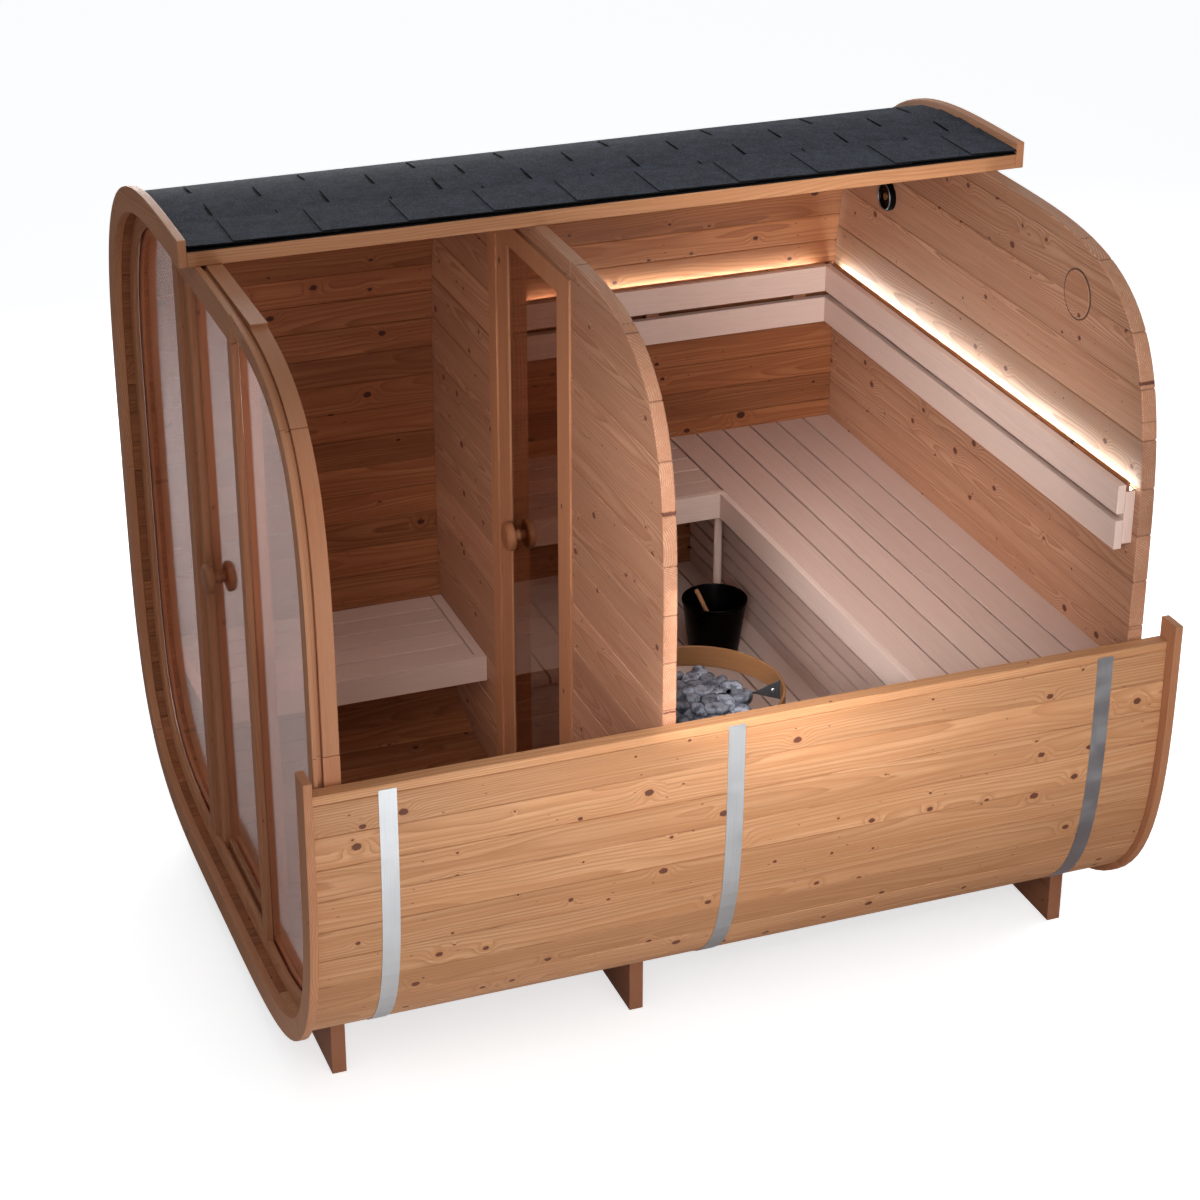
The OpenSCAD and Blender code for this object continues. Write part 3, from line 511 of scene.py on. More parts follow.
def dress(name, nodes, material, bevel=0.002, along=None, slabs=None, body="cabin", segments=2,
          second=None, tall=9.0):
    rng = random.Random(name)
    pile = newPile()
    for node in nodes:
        for piece in sawn(node, slabs):
            easeEdges(piece, bevel, segments)
            stack(pile, piece, along, rng, tall=tall)
            piece.free()
    return finishPiece(name, pile, material, body, nodes, second=second)


# outline of the wall boards

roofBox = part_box("roof_boards")
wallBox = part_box("far_wall_boards")
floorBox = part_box("floor_boards")
shellOutline = {"halfWidth": -wallBox[0].x, "halfHeight": (roofBox[1].z - floorBox[0].z) / 2,
                "middle": (roofBox[1].z + floorBox[0].z) / 2, "squareTop": 4.0, "squareLow": 4.6,
                "boards": 76}


def outlineReach(angle):
    shape = shellOutline
    square = shape["squareTop"] if math.cos(angle) > 0 else shape["squareLow"]
    across = abs(math.sin(angle) / shape["halfWidth"]) ** square
    up = abs(math.cos(angle) / shape["halfHeight"]) ** square
    return (across + up) ** (-1 / square)


def outlinePoint(angle):
    reach = outlineReach(angle)
    return Vector((-reach * math.sin(angle), 0, shellOutline["middle"] + reach * math.cos(angle)))


outlineSteps = 1440
outlineLine = [outlinePoint(2 * math.pi * i / outlineSteps) for i in range(outlineSteps + 1)]
outlineRun = [0.0]
for first, second in zip(outlineLine, outlineLine[1:]):
    outlineRun.append(outlineRun[-1] + (second - first).length)


def outlineAt(run, lift=0.0):
    run = run % outlineRun[-1]
    low, high = 0, outlineSteps
    while high - low > 1:
        mid = (low + high) // 2
        low, high = (mid, high) if outlineRun[mid] <= run else (low, mid)
    share = (run - outlineRun[low]) / (outlineRun[high] - outlineRun[low])
    tangent = (outlineLine[high] - outlineLine[low]).normalized()
    outward = Vector((tangent.z, 0, -tangent.x))
    return outlineLine[low].lerp(outlineLine[high], share) + outward * lift, tangent


def staveSlabs(first, last, gap=0.0005):
    pitch = outlineRun[-1] / shellOutline["boards"]
    slabs = []
    for i in range(first, last):
        start, along = outlineAt(i * pitch + gap)
        end, ahead = outlineAt((i + 1) * pitch - gap)
        slabs.append([(start, -along), (end, ahead)])
    return slabs


staves = {"roofStaves": ("roof_boards", 0, 6, "roofPine"),
          "eaveStaves": ("far_eave_boards", 6, 14, "shadedInnerPine"),
          "farWallStaves": ("far_wall_boards", 14, 24, "shadedInnerPine"),
          "farLowerStaves": ("far_lower_boards", 24, 32, "shadedInnerPine"),
          "floorStaves": ("floor_boards", 32, 44, "shadedInnerPine"),
          "nearLowerStaves": ("near_lower_boards", 44, 52, "shellPine"),
          "nearWallStaves": ("near_wall_boards", 52, 66, "shellPine")}
for name, (node, first, last, kind) in staves.items():
    dress(name, [node], wood[kind], bevel=0.0022, along=1, slabs=staveSlabs(first, last), segments=1)
print("shell boards laid")


# walls of level boards

wallBoards = {"pitch": 0.142, "joint": 1.975, "gap": 0.0012, "bevel": 0.003}


def levelSlabs(spec, low, high):
    slabs = []
    joint = spec["joint"] + 4 * spec["pitch"]
    while joint > low:
        below = joint - spec["pitch"]
        if below < high:
            top = (Vector((0, 0, joint - spec["gap"] / 2)), Vector((0, 0, 1)))
            base = (Vector((0, 0, below + spec["gap"] / 2)), Vector((0, 0, -1)))
            slabs.append([top, base])
        joint = below
    return slabs


roomLow, roomHigh = floorBox[0].z, roofBox[1].z
for name, node in (("rearWallBoards", "rear_wall"), ("partitionLeftBoards", "partition_left"),
                   ("partitionRightBoards", "partition_right"), ("partitionHeadBoards", "partition_head")):
    slabs = levelSlabs(wallBoards, roomLow, roomHigh)
    dress(name, [node], wood["roomPine"], bevel=wallBoards["bevel"], along=0, slabs=slabs, segments=1)
print("walls boarded")


# rings and front frame, in curved lengths

def wedgeSlabs(joints, gap=0.0003):
    centre = Vector((0, 0, shellOutline["middle"]))
    slabs = []
    for start, end in zip(joints, joints[1:] + (joints[0] + 360,)):
        turns = (math.radians(start), math.radians(end))
        first, second = (Vector((-math.sin(turn), 0, math.cos(turn))) for turn in turns)
        slabs.append([(centre + first * gap, -first), (centre - second * gap, second)])
    return slabs


ringJoints = (0, 45, 90, 135, 180, 225, 270, 315)
rimJoints = (0, 45, 90, 135, 180)
curved = {"frontRing": ("front_ring", 0.003, "framePine", "chord", ringJoints),
          "rearRing": ("rear_ring", 0.003, "framePine", "chord", ringJoints),
          "frontRim": ("front_rim", 0.003, "shadedDoorPine", "arc", rimJoints),
          "frontTrim": ("front_trim", 0.002, "framePine", "arc", rimJoints)}
for name, (node, bevel, kind, along, joints) in curved.items():
    dress(name, [node], wood[kind], bevel=bevel, along=along, slabs=wedgeSlabs(joints))
straight = {"doorHeader": ("door_header", "framePine"), "doorPostLeft": ("door_post_left", "shadedDoorPine"),
            "doorJamb": ("door_jamb", "shadedDoorPine"), "doorPostRight": ("door_post_right", "shadedDoorPine"),
            "partitionFrame": ("partition_frame", "framePine"), "cradlePlanks": ("cradles", "shadedCradlePine")}
for name, (node, kind) in straight.items():
    dress(name, [node], wood[kind], bevel=0.0025)
print("rings and frames made")


# benches and backrests

benches = {"changingSlats": ("changing_bench", 0.0015), "changingFascia": ("changing_fascia", 0.002),
           "benchBearers": ("bench_bearers", 0.0015), "upperSlatsRear": ("upper_bench_rear", 0.0015),
           "upperSlatsSide": ("upper_bench_side", 0.0015), "upperFascia": ("upper_fascia", 0.002),
           "benchSkirt": ("bench_skirt", 0.001), "benchLeg": ("bench_leg", 0.001),
           "lowerSlatsRear": ("lower_bench_rear", 0.0015), "lowerSlatsSide": ("lower_bench_side", 0.0015),
           "lowerFronts": ("lower_bench_fronts", 0.001)}
for name, (node, bevel) in benches.items():
    kind = "shadedSeatWood" if node.startswith(("upper_bench", "bench_skirt")) else "benchWood"
    dress(name, [node], wood[kind], bevel=bevel)
dress("backrestRear", ["backrest_rear"], wood["benchWood"], bevel=0.002)
# the cleats are the tall parts of this node; they take the darkened cradle pine as painted shade of the gap behind
# the backrest
dress("backrestFar", ["backrest_far"], wood["benchWood"], bevel=0.002, second=wood["shadedCradlePine"], tall=0.12)
print("benches built")


# turned and round pieces

plainOwn = (0.5, 0.5, 0.5)  # for pieces whose finish doesn't vary from part to part


def upright(x, y, z=0.0):
    return lambda p: Vector((x + p.x, y + p.y, z + p.z))


def latheInto(pile, profile, steps, toWorld, grainAxes=(0, 1, 2), own=plainOwn):
    base = len(pile["verts"])
    for k in range(steps):
        angle = 2 * math.pi * k / steps
        for radius, height in profile:
            local = Vector((radius * math.cos(angle), radius * math.sin(angle), height))
            pile["verts"].append(toWorld(local)[:])
            pile["grain"].extend(local[axis] for axis in grainAxes)
            pile["board"].extend(own)
    count = len(profile)
    for k in range(steps):
        after = (k + 1) % steps
        for i in range(count - 1):
            a, b = base + k * count + i, base + after * count + i
            pile["faces"].append([a, b, b + 1, a + 1])


def tidyMesh(obj):
    bm = bmesh.new()
    bm.from_mesh(obj.data)
    bmesh.ops.remove_doubles(bm, verts=bm.verts, dist=0.00001)
    bmesh.ops.recalc_face_normals(bm, faces=bm.faces)
    bm.to_mesh(obj.data)
    bm.free()


knobShape = {"discRadius": 0.046, "discThick": 0.027, "round": 0.006, "spindle": 0.018, "reach": 0.023}


def knobProfile(spec):
    radius, ease, spindle, reach = spec["discRadius"], spec["round"], spec["spindle"], spec["reach"]
    front = reach + spec["discThick"]
    back = [(spindle, 0.0), (spindle * 0.82, reach * 0.55), (spindle * 0.9, reach - 0.001)]
    disc = [(radius - ease, reach), (radius - ease * 0.3, reach + ease * 0.3), (radius, reach + ease)]
    face = [(radius - 0.0006, reach + spec["discThick"] * 0.62), (radius - ease * 0.5, front - ease),
            (radius - ease * 1.3, front - ease * 0.35), (radius - ease * 2.4, front), (0.0, front)]
    return back + disc + face


def knobPair(name, node, body):
    low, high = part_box(node)
    middle = (low + high) / 2
    pile = newPile()
    rng = random.Random(name)
    for side in (-1, 1):
        # the knob on the +y side gets a darker tone than its twin: painted shade
        own = (rng.random(), rng.random(), 0.35 + 0.3 * (side < 0))
        latheInto(pile, knobProfile(knobShape), 56,
                  lambda p: middle + Vector((p.x, side * p.z, p.y)), (1, 0, 2), own)
    tidyMesh(finishPiece(name, pile, wood["knobWood"], body, [node], sharp=28))


knobPair("frontKnobPair", "front_knobs", "front_leaf")
knobPair("innerKnobPair", "partition_knobs", "inner_leaf")
print("knobs turned")


# glass doors and panes

doorFittings = {"edge": 0.0012, "pinRadius": 0.005, "pinEase": 0.0006}
glassLeaves = {
    "frontDoor": {
        "node": "front_door", "body": "front_leaf", "glass": "frontGlass", "pinLow": 0.0197,
        "pinHigh": 0.0307, "joint": "front_door_hinge"},
    "innerDoor": {
        "node": "partition_door", "body": "inner_leaf", "glass": "innerGlass", "pinLow": 0.0197,
        "pinHigh": 0.0197, "joint": "inner_door_hinge"},
}


def boxInto(pile, low, high, bevel, segments, own, along=None):
    bm = bmesh.new()
    bmesh.ops.create_cube(bm, size=1.0)
    for vert in bm.verts:
        vert.co = Vector([low[k] + (vert.co[k] + 0.5) * (high[k] - low[k]) for k in range(3)])
    easeEdges(bm, bevel, segments)
    stack(pile, bm, along, own=(own, own, own))
    bm.free()


def glassLeaf(name, spec):
    low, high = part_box(spec["node"])
    pile = newPile()
    foot, head = Vector((0, 0, spec["pinLow"])), Vector((0, 0, spec["pinHigh"]))
    boxInto(pile, low + foot, high - head, doorFittings["edge"], 1, 0.5)
    for i, face in enumerate(pile["faces"]):
        across = [pile["verts"][v][1] for v in face]
        pile["second"][i] = int(max(across) - min(across) > 0.002)  # the ground edges all round
    finishPiece(name + "Glass", pile, finish[spec["glass"]], spec["body"], [spec["node"]],
                second=finish["glassEdgeAndGapShade"])
    pins = newPile()
    middle = (low + high) / 2
    x = next(joint["pos_m"][0] for joint in frame["joints"] if joint["name"] == spec["joint"])
    for z0, z1 in ((low.z, low.z + spec["pinLow"] + 0.001), (high.z - spec["pinHigh"] - 0.001, high.z)):
        r, ease = doorFittings["pinRadius"], doorFittings["pinEase"]
        profile = [(0.0, z0), (r - ease, z0), (r, z0 + ease), (r, z1 - ease), (r - ease, z1), (0.0, z1)]
        latheInto(pins, profile, 24, upright(x, middle.y))
    tidyMesh(finishPiece(name + "Pins", pins, finish["bracketSteel"], spec["body"], [spec["node"]], sharp=30))


for name, spec in glassLeaves.items():
    glassLeaf(name, spec)
# three nodes need no more than a finish
for node, name in (("left_pane", "frontGlass"), ("right_pane", "frontGlass"), ("steel_bands", "bandSteel")):
    frame["nodes"][node].data.materials.clear()
    frame["nodes"][node].data.materials.append(finish[name])
print("glass set")


# shingled roof: staggered tabs, capped at the ridge

shingles = {"ridge": 0.200, "ridgeTab": 0.2502, "ridgeStart": -1.142, "exposure": 0.1285, "firstEdge": 0.245,
            "slot": 0.012, "thick": 0.0060, "lap": 0.04, "felt": 0.003,
            "oddStarts": (-0.962, -0.624, -0.348, -0.010, 0.328, 0.667, 1.004),
            "evenStarts": (-1.137, -0.797, -0.459, -0.184, 0.154, 0.493, 0.831, 1.170)}


def tabInto(pile, runs, lifts, y0, y1, thick, own, slant=0.0, feltAndSlotShade=False):
    base = len(pile["verts"])
    for run, lift in zip(runs, lifts):
        for y, rise in ((y0, 0.0), (y1, slant)):
            for level in (lift + rise, lift + rise + thick):
                point, tangent = outlineAt(run, level)
                pile["verts"].append((point.x, y, point.z))
                pile["grain"].extend((run, y, level))
                pile["board"].extend(own)
    count = len(runs)
    for i in range(count - 1):
        a = base + 4 * i
        for p, q in ((0, 1), (1, 3), (3, 2), (2, 0)):
            pile["faces"].append([a + p, a + q, a + 4 + q, a + 4 + p])
            pile["second"].append(1 if feltAndSlotShade or (p, q) != (1, 3) else 0)
    pile["faces"].append([base, base + 2, base + 3, base + 1])
    last = base + 4 * (count - 1)
    pile["faces"].append([last, last + 1, last + 3, last + 2])
    pile["second"] += [1, 1]


def evenRuns(start, end, count):
    return [start + (end - start) * i / count for i in range(count + 1)]


def shingleRoof(spec):
    rng = random.Random("roof")
    pile = newPile()
    low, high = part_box("roof_shingles")
    y0, y1 = low.y, high.y
    slot, felt, thick, exposure = spec["slot"], spec["felt"], spec["thick"], spec["exposure"]
    endRun = spec["firstEdge"]
    while outlineAt(endRun + exposure)[0].z > low.z and endRun < 1.4:
        endRun += exposure
    whole = evenRuns(0.0005, endRun - 0.01, 24)
    tabInto(pile, whole, [0.0003] * 25, y0, y1, felt, (0.5, 0.5, 0.3), feltAndSlotShade=True)
    edge, row = spec["firstEdge"], 0
    while edge <= endRun + 0.001:
        starts = spec["evenStarts"] if row % 2 else spec["oddStarts"]
        cuts = [y0] + [s for s in starts if y0 + 0.02 < s < y1 - 0.02] + [y1]
        top = max(0.02, edge - exposure - spec["lap"])
        for first, second in zip(cuts, cuts[1:]):
            own = (rng.random(), rng.random(), rng.random())
            gap = slot / 2 + rng.uniform(-0.0005, 0.0005)
            a, b = first + (gap if first > y0 else 0), second - (gap if second < y1 else 0)
            lift = felt + rng.uniform(0, 0.0006)
            runs = evenRuns(top, edge, 6)
            lifts = [lift + (thick + 0.0006) * i / 6 for i in range(7)]
            tabInto(pile, runs, lifts, a, b, thick * 0.8, own)
            # a thin dark strip under each slot: painted shade in the slot
            if second < y1:
                under = [lift - 0.0012 for lift in lifts[2:]]
                tabInto(pile, runs[2:-1], under, second - slot, second + slot, 0.0008, own, feltAndSlotShade=True)
        edge += exposure
        row += 1
    y = spec["ridgeStart"]
    caps = [y0]
    while y < y1 - 0.02:
        caps.append(y)
        y += spec["ridgeTab"]
    caps.append(y1)
    for first, second in zip(caps, caps[1:]):
        own = (rng.random(), rng.random(), rng.random())
        reach = min(second + 0.06, y1)
        a = first + (slot / 2 if first > y0 else 0)
        base = felt + thick * 1.4
        ridge = evenRuns(0.0003, spec["ridge"], 6)
        tabInto(pile, ridge, [base + 0.0030] * 7, a, reach, thick * 0.7, own, slant=-0.0045)
    finishPiece("roofShingleTabs", pile, finish["shingle"], "cabin", ["roof_shingles"],
                second=finish["bitumenAndSlotShade"])


shingleRoof(shingles)
print("roof shingled")


# heater, stones, hoop

heaterLook = {"ease": 0.004, "groove": 0.003, "grooveAt": (0.06, 0.077), "collar": 0.002, "collarDrop": 0.048,
              "wall": 0.006, "well": 0.118, "feet": 4, "footRise": 0.03, "footRadius": 0.014,
              "footInset": 0.03, "footLift": 0.011}


def heaterBody(spec):
    low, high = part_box("heater")
    middle = (low + high) / 2
    radius = (high.x - low.x) / 2
    top, foot, rim, well = high.z, low.z + spec["footRise"], radius - spec["wall"], high.z - spec["well"]
    groove, collar, ease = spec["groove"], spec["collar"], spec["ease"]
    grooveLow, grooveHigh = (foot + rise for rise in spec["grooveAt"])
    collarLow = top - spec["collarDrop"]
    profile = [(0.0, foot), (radius - ease, foot), (radius, foot + ease), (radius, grooveLow),
               (radius - groove, grooveLow + groove), (radius - groove, grooveHigh - groove),
               (radius, grooveHigh), (radius, collarLow - collar), (radius + collar, collarLow),
               (radius + collar, top - collar), (radius, top), (rim, top), (rim, well), (0.0, well)]
    pile = newPile()
    latheInto(pile, profile, 96, upright(middle.x, middle.y))
    sole, wide = low.z + spec["footLift"], spec["footRadius"]
    legProfile = [(0.0, sole), (wide - 0.001, sole), (wide, sole + 0.002), (wide, foot + 0.001)]
    for k in range(spec["feet"]):
        angle = math.radians(45 + 360 / spec["feet"] * k)
        reach = radius - spec["footInset"]
        stand = upright(middle.x + reach * math.cos(angle), middle.y + reach * math.sin(angle))
        latheInto(pile, legProfile, 20, stand)
    tidyMesh(finishPiece("heaterTub", pile, finish["heaterPaint"], "cabin", ["heater"], sharp=30))
    return middle, radius, high.z


stones = {"size": (0.021, 0.030), "long": (1.15, 1.5), "flat": (0.74, 0.9), "pitch": 0.047, "rise": 0.032,
          "bed": 0.070, "insets": (0.020, 0.020, 0.010, 0.010, 0.014, 0.034), "stray": 0.007, "proud": 0.028}


def spin(first, second, angle):
    cosine, sine = math.cos(angle), math.sin(angle)
    return first * cosine - second * sine, first * sine + second * cosine


def stoneHeap(spec, middle, radius, rim):
    rng = random.Random("stones")
    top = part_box("heater_stones")[1].z
    placed = []
    stray, pitch = spec["stray"], spec["pitch"]
    for layer, inset in enumerate(spec["insets"]):
        z = rim - spec["bed"] + layer * spec["rise"]
        for i in range(-4, 5):
            for j in range(-4, 5):
                x = (i + 0.5 * (j % 2) + 0.35 * layer) * pitch * 1.08 + rng.uniform(-stray, stray)
                y = (j + 0.3 * layer) * pitch * 0.95 + rng.uniform(-stray, stray)
                if math.hypot(x, y) < radius - inset:
                    placed.append((x, y, z + rng.uniform(-0.006, 0.006), rng.uniform(*spec["size"])))
    pile = newPile()
    for x, y, z, size in placed:
        bm = bmesh.new()
        bmesh.ops.create_icosphere(bm, subdivisions=3, radius=1.0)
        seed = Vector((rng.uniform(0, 50), rng.uniform(0, 50), rng.uniform(0, 50)))
        long, flat = rng.uniform(*spec["long"]), rng.uniform(*spec["flat"])
        turn, tip, roll = rng.uniform(0, math.pi), rng.uniform(-0.5, 0.5), rng.uniform(-0.4, 0.4)
        own = (rng.random(), rng.random(), rng.random())
        for vert in bm.verts:
            n = vert.co.normalized()
            push = 1.0 + 0.2 * noise.noise(n * 0.9 + seed) + 0.09 * noise.noise(n * 2.2 + seed)
            p = Vector((n.x * long, n.y * 0.95, n.z * flat)) * push * size
            p.z, p.x = spin(p.z, p.x, tip)
            p.y, p.z = spin(p.y, p.z, roll)
            p.x, p.y = spin(p.x, p.y, turn)
            place = Vector((middle.x + x + p.x, middle.y + y + p.y, min(z + p.z, top + spec["proud"])))
            pile["verts"].append(place[:])
            pile["grain"].extend(place[:])
            pile["board"].extend(own)
        base = len(pile["verts"]) - len(bm.verts)
        for face in bm.faces:
            pile["faces"].append([base + v.index for v in face.verts])
        bm.free()
    finishPiece("stoneHeap", pile, finish["stone"], "cabin", ["heater_stones"], sharp=80)
    print(len(placed), "stones placed")


hoop = {"thick": 0.008, "ease": 0.0022, "steps": 128}


def hoopBand(spec):
    low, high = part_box("guard_hoop")
    middle, radius = (low + high) / 2, (high.x - low.x) / 2
    steps, inner, ease = spec["steps"], radius - spec["thick"], spec["ease"]
    pile = newPile()
    base, top = low.z, high.z
    section = [(inner + ease, base), (radius - ease, base), (radius, base + ease), (radius, top - ease),
               (radius - ease, top), (inner + ease, top), (inner, top - ease), (inner, base + ease),
               (inner + ease, base)]
    for k in range(steps + 1):
        angle = 2 * math.pi * k / steps
        for r, z in section:
            pile["verts"].append((middle.x + r * math.cos(angle), middle.y + r * math.sin(angle), z))
            pile["grain"].extend((angle * radius, z - middle.z, r - radius))
            pile["board"].extend((0.3, 0.9, 0.6))
    count = len(section)
    for k in range(steps):
        for i in range(count - 1):
            a = k * count + i
            pile["faces"].append([a, a + count, a + count + 1, a + 1])
    finishPiece("bentwoodHoop", pile, wood["hoopWood"], "cabin", ["guard_hoop"], sharp=30)


# a thin plate widens from its foot on the tub to the hoop, with one screw
brackets = {"turns": (80, 200, 320), "thick": 0.003, "foot": 0.005, "wide": 0.066, "drop": 0.001,
            "root": 0.0064, "leg": 0.05, "screw": 0.006}


def hoopBrackets(spec, middle, radius, rim):
    plates, heads = newPile(), newPile()
    low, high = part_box("guard_hoop")
    inner = (high.x - low.x) / 2 - 0.0085
    wideTop = high.z - spec["drop"]
    tip = wideTop - spec["wide"] * 0.5
    root = radius - spec["root"]
    outline = [(root, rim - spec["leg"]), (root + spec["foot"], rim - spec["leg"]), (radius, tip - 0.006),
               (radius + 0.020, tip - 0.008), (inner, wideTop - spec["wide"]), (inner, wideTop),
               (radius + 0.020, tip), (root, tip)]
    head = spec["screw"]
    screwHead = [(head, 0.0), (head, 0.0008), (head * 0.7, 0.0022), (0.0, 0.0027)]
    ground = middle * Vector((1, 1, 0))
    for turn in spec["turns"]:
        out = Vector((math.cos(math.radians(turn)), math.sin(math.radians(turn)), 0))
        side = Vector((-out.y, out.x, 0))
        bm = bmesh.new()
        corner = ground - side * spec["thick"] / 2
        face = bm.faces.new([bm.verts.new(corner + out * r + Vector((0, 0, z))) for r, z in outline])
        swept = bmesh.ops.extrude_face_region(bm, geom=[face])["geom"]
        moved = [g for g in swept if isinstance(g, bmesh.types.BMVert)]
        bmesh.ops.translate(bm, vec=side * spec["thick"], verts=moved)
        easeEdges(bm, 0.0006, 1)
        stack(plates, bm, None, random.Random(turn))
        bm.free()
        spot = ground + out * (inner - 0.022) + Vector((0, 0, wideTop - spec["wide"] / 2))
        for facing in (-side, side):
            latheInto(heads, screwHead, 20,
                      lambda p: spot + facing * (spec["thick"] / 2 + p.z) + out * p.x + Vector((0, 0, p.y)))
    finishPiece("hoopPlates", plates, finish["bracketSteel"], "cabin", ["guard_brackets"])
    tidyMesh(finishPiece("hoopScrews", heads, finish["screwSteel"], "cabin", ["guard_brackets"], sharp=30))


tub = heaterBody(heaterLook)
stoneHeap(stones, *tub)
hoopBand(hoop)
hoopBrackets(brackets, *tub)
print("heater made")


# bucket, ladle, lamp and vent

bucketLook = {"taper": 0.027, "wall": 0.004}


def bucketPiece(spec):
    low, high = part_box("bucket")
    middle, top = (low + high) / 2, (high.x - low.x) / 2
    bottom, wall = top - spec["taper"], spec["wall"]
    tall = high.z - low.z
    profile = [(0.0, 0.006), (bottom - 0.01, 0.006), (bottom - 0.006, 0.0), (bottom - 0.001, 0.0),
               (bottom, 0.002), (top - 0.003, tall - 0.012), (top, tall - 0.010), (top, tall - 0.002),
               (top - 0.002, tall), (top - 0.005, tall), (top - wall - 0.003, tall - 0.004),
               (bottom - wall, 0.012), (bottom - wall - 0.01, 0.007), (0.0, 0.007)]
    pile = newPile()
    latheInto(pile, profile, 96, upright(middle.x, middle.y, low.z))
    tidyMesh(finishPiece("waterBucket", pile, finish["blackLacquer"], "cabin", ["bucket"], sharp=35))


bucketPiece(bucketLook)
dress("ladleWood", ["ladle"], wood["framePine"], bevel=0.003, segments=3)
print("bucket and ladle made")


# round pieces on the rear wall; each profile runs from the edge to the middle, with its height off the wall

wallRounds = {"ventProud": 0.004, "ventShadeRing": 0.0042, "lampProud": 0.65, "steps": 72}


def wallRound(name, node, profile, material):
    low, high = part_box(node)
    middle, deep = (low + high) / 2, high.y - low.y
    pile = newPile()
    latheInto(pile, profile((high.x - low.x) / 2, deep), wallRounds["steps"],
              lambda p: Vector((middle.x + p.x, high.y - p.z, middle.z + p.y)), own=(0.3, 0.7, 0.6))
    tidyMesh(finishPiece(name, pile, material, "cabin", [node], sharp=30))


def ventProfile(radius, deep):
    proud = min(deep, wallRounds["ventProud"])
    return [(radius - 0.004, 0.0), (radius - 0.004, proud - 0.0015), (radius - 0.0055, proud), (0.0, proud)]


# a thin dark ring round the vent disc: painted shade of the gap at its edge
def ventShadeRing(radius, deep):
    return [(radius, 0.0), (radius, 0.0028), (radius - wallRounds["ventShadeRing"], 0.0028)]


def lampShell(radius, deep):
    deep *= wallRounds["lampProud"]
    return [(radius, 0.0), (radius, deep - 0.005), (radius * 0.98, deep - 0.002),
            (radius * 0.84, deep - 0.002), (radius * 0.78, deep - 0.008), (0.0, deep - 0.010)]


def lampRing(radius, deep):
    deep *= wallRounds["lampProud"]
    return [(radius * 0.97, deep - 0.0021), (radius * 0.95, deep), (radius * 0.88, deep),
            (radius * 0.85, deep - 0.0021)]


def lampBulb(radius, deep):
    deep *= wallRounds["lampProud"]
    return [(radius * 0.26, deep - 0.0096), (radius * 0.24, deep - 0.005), (radius * 0.16, deep - 0.003),
            (0.0, deep - 0.002)]


wallRound("ventDisc", "vent_disc", ventProfile, wood["roomPine"])
wallRound("ventShadowGap", "vent_disc", ventShadeRing, finish["glassEdgeAndGapShade"])
wallRound("wallLampShell", "wall_lamp", lampShell, finish["blackLacquer"])
wallRound("wallLampRing", "wall_lamp", lampRing, finish["lampRing"])
wallRound("wallLampCentre", "wall_lamp", lampBulb, finish["lampBrass"])


# a wooden lip keeps the light off the bench and lets it up the wall
lightRail = {"lip": 0.009, "short": 0.055, "base": 0.003, "rise": 0.017, "lamp": 0.004, "strip": 0.008}


def lightRails(spec):
    low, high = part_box("light_strips")
    wide = high.z - low.z + 0.010
    bed = low.z + spec["base"]
    lamps, lips = newPile(), newPile()
    farIn, rearIn = low.x + wide, high.y - wide
    runs = [((low.x, low.y), (farIn, rearIn), 0), ((farIn + 0.02, rearIn), (high.x, high.y), 1)]
    for (x0, y0), (x1, y1), side in runs:
        near = (x0 + 0.001, y0) if side else (x1 - spec["strip"], y0)
        far = (x1 - 0.001, y0 + spec["strip"]) if side else (x1, y1 - spec["short"])
        boxInto(lamps, Vector((*near, bed)), Vector((*far, bed + spec["lamp"])), 0.0008, 1, 0.5)
        if side:
            lip = ((x0, y0 - spec["lip"], low.z), (x1, y0, high.z + spec["rise"]))
        else:
            lip = ((x1, y0, low.z), (x1 + spec["lip"], y1, high.z + spec["rise"]))
        boxInto(lips, Vector(lip[0]), Vector(lip[1]), 0.0008, 1, 0.4)
        boxInto(lips, Vector((x0, y0, low.z)), Vector((x1, y1, bed - 0.0005)), 0.0005, 1, 0.6)
    finishPiece("lightRailLamps", lamps, finish["glow"], "cabin", ["light_strips"])
    finishPiece("lightRailLips", lips, wood["shadedInnerPine"], "cabin", ["light_strips"])


lightRails(lightRail)
print("fittings made")


# studio

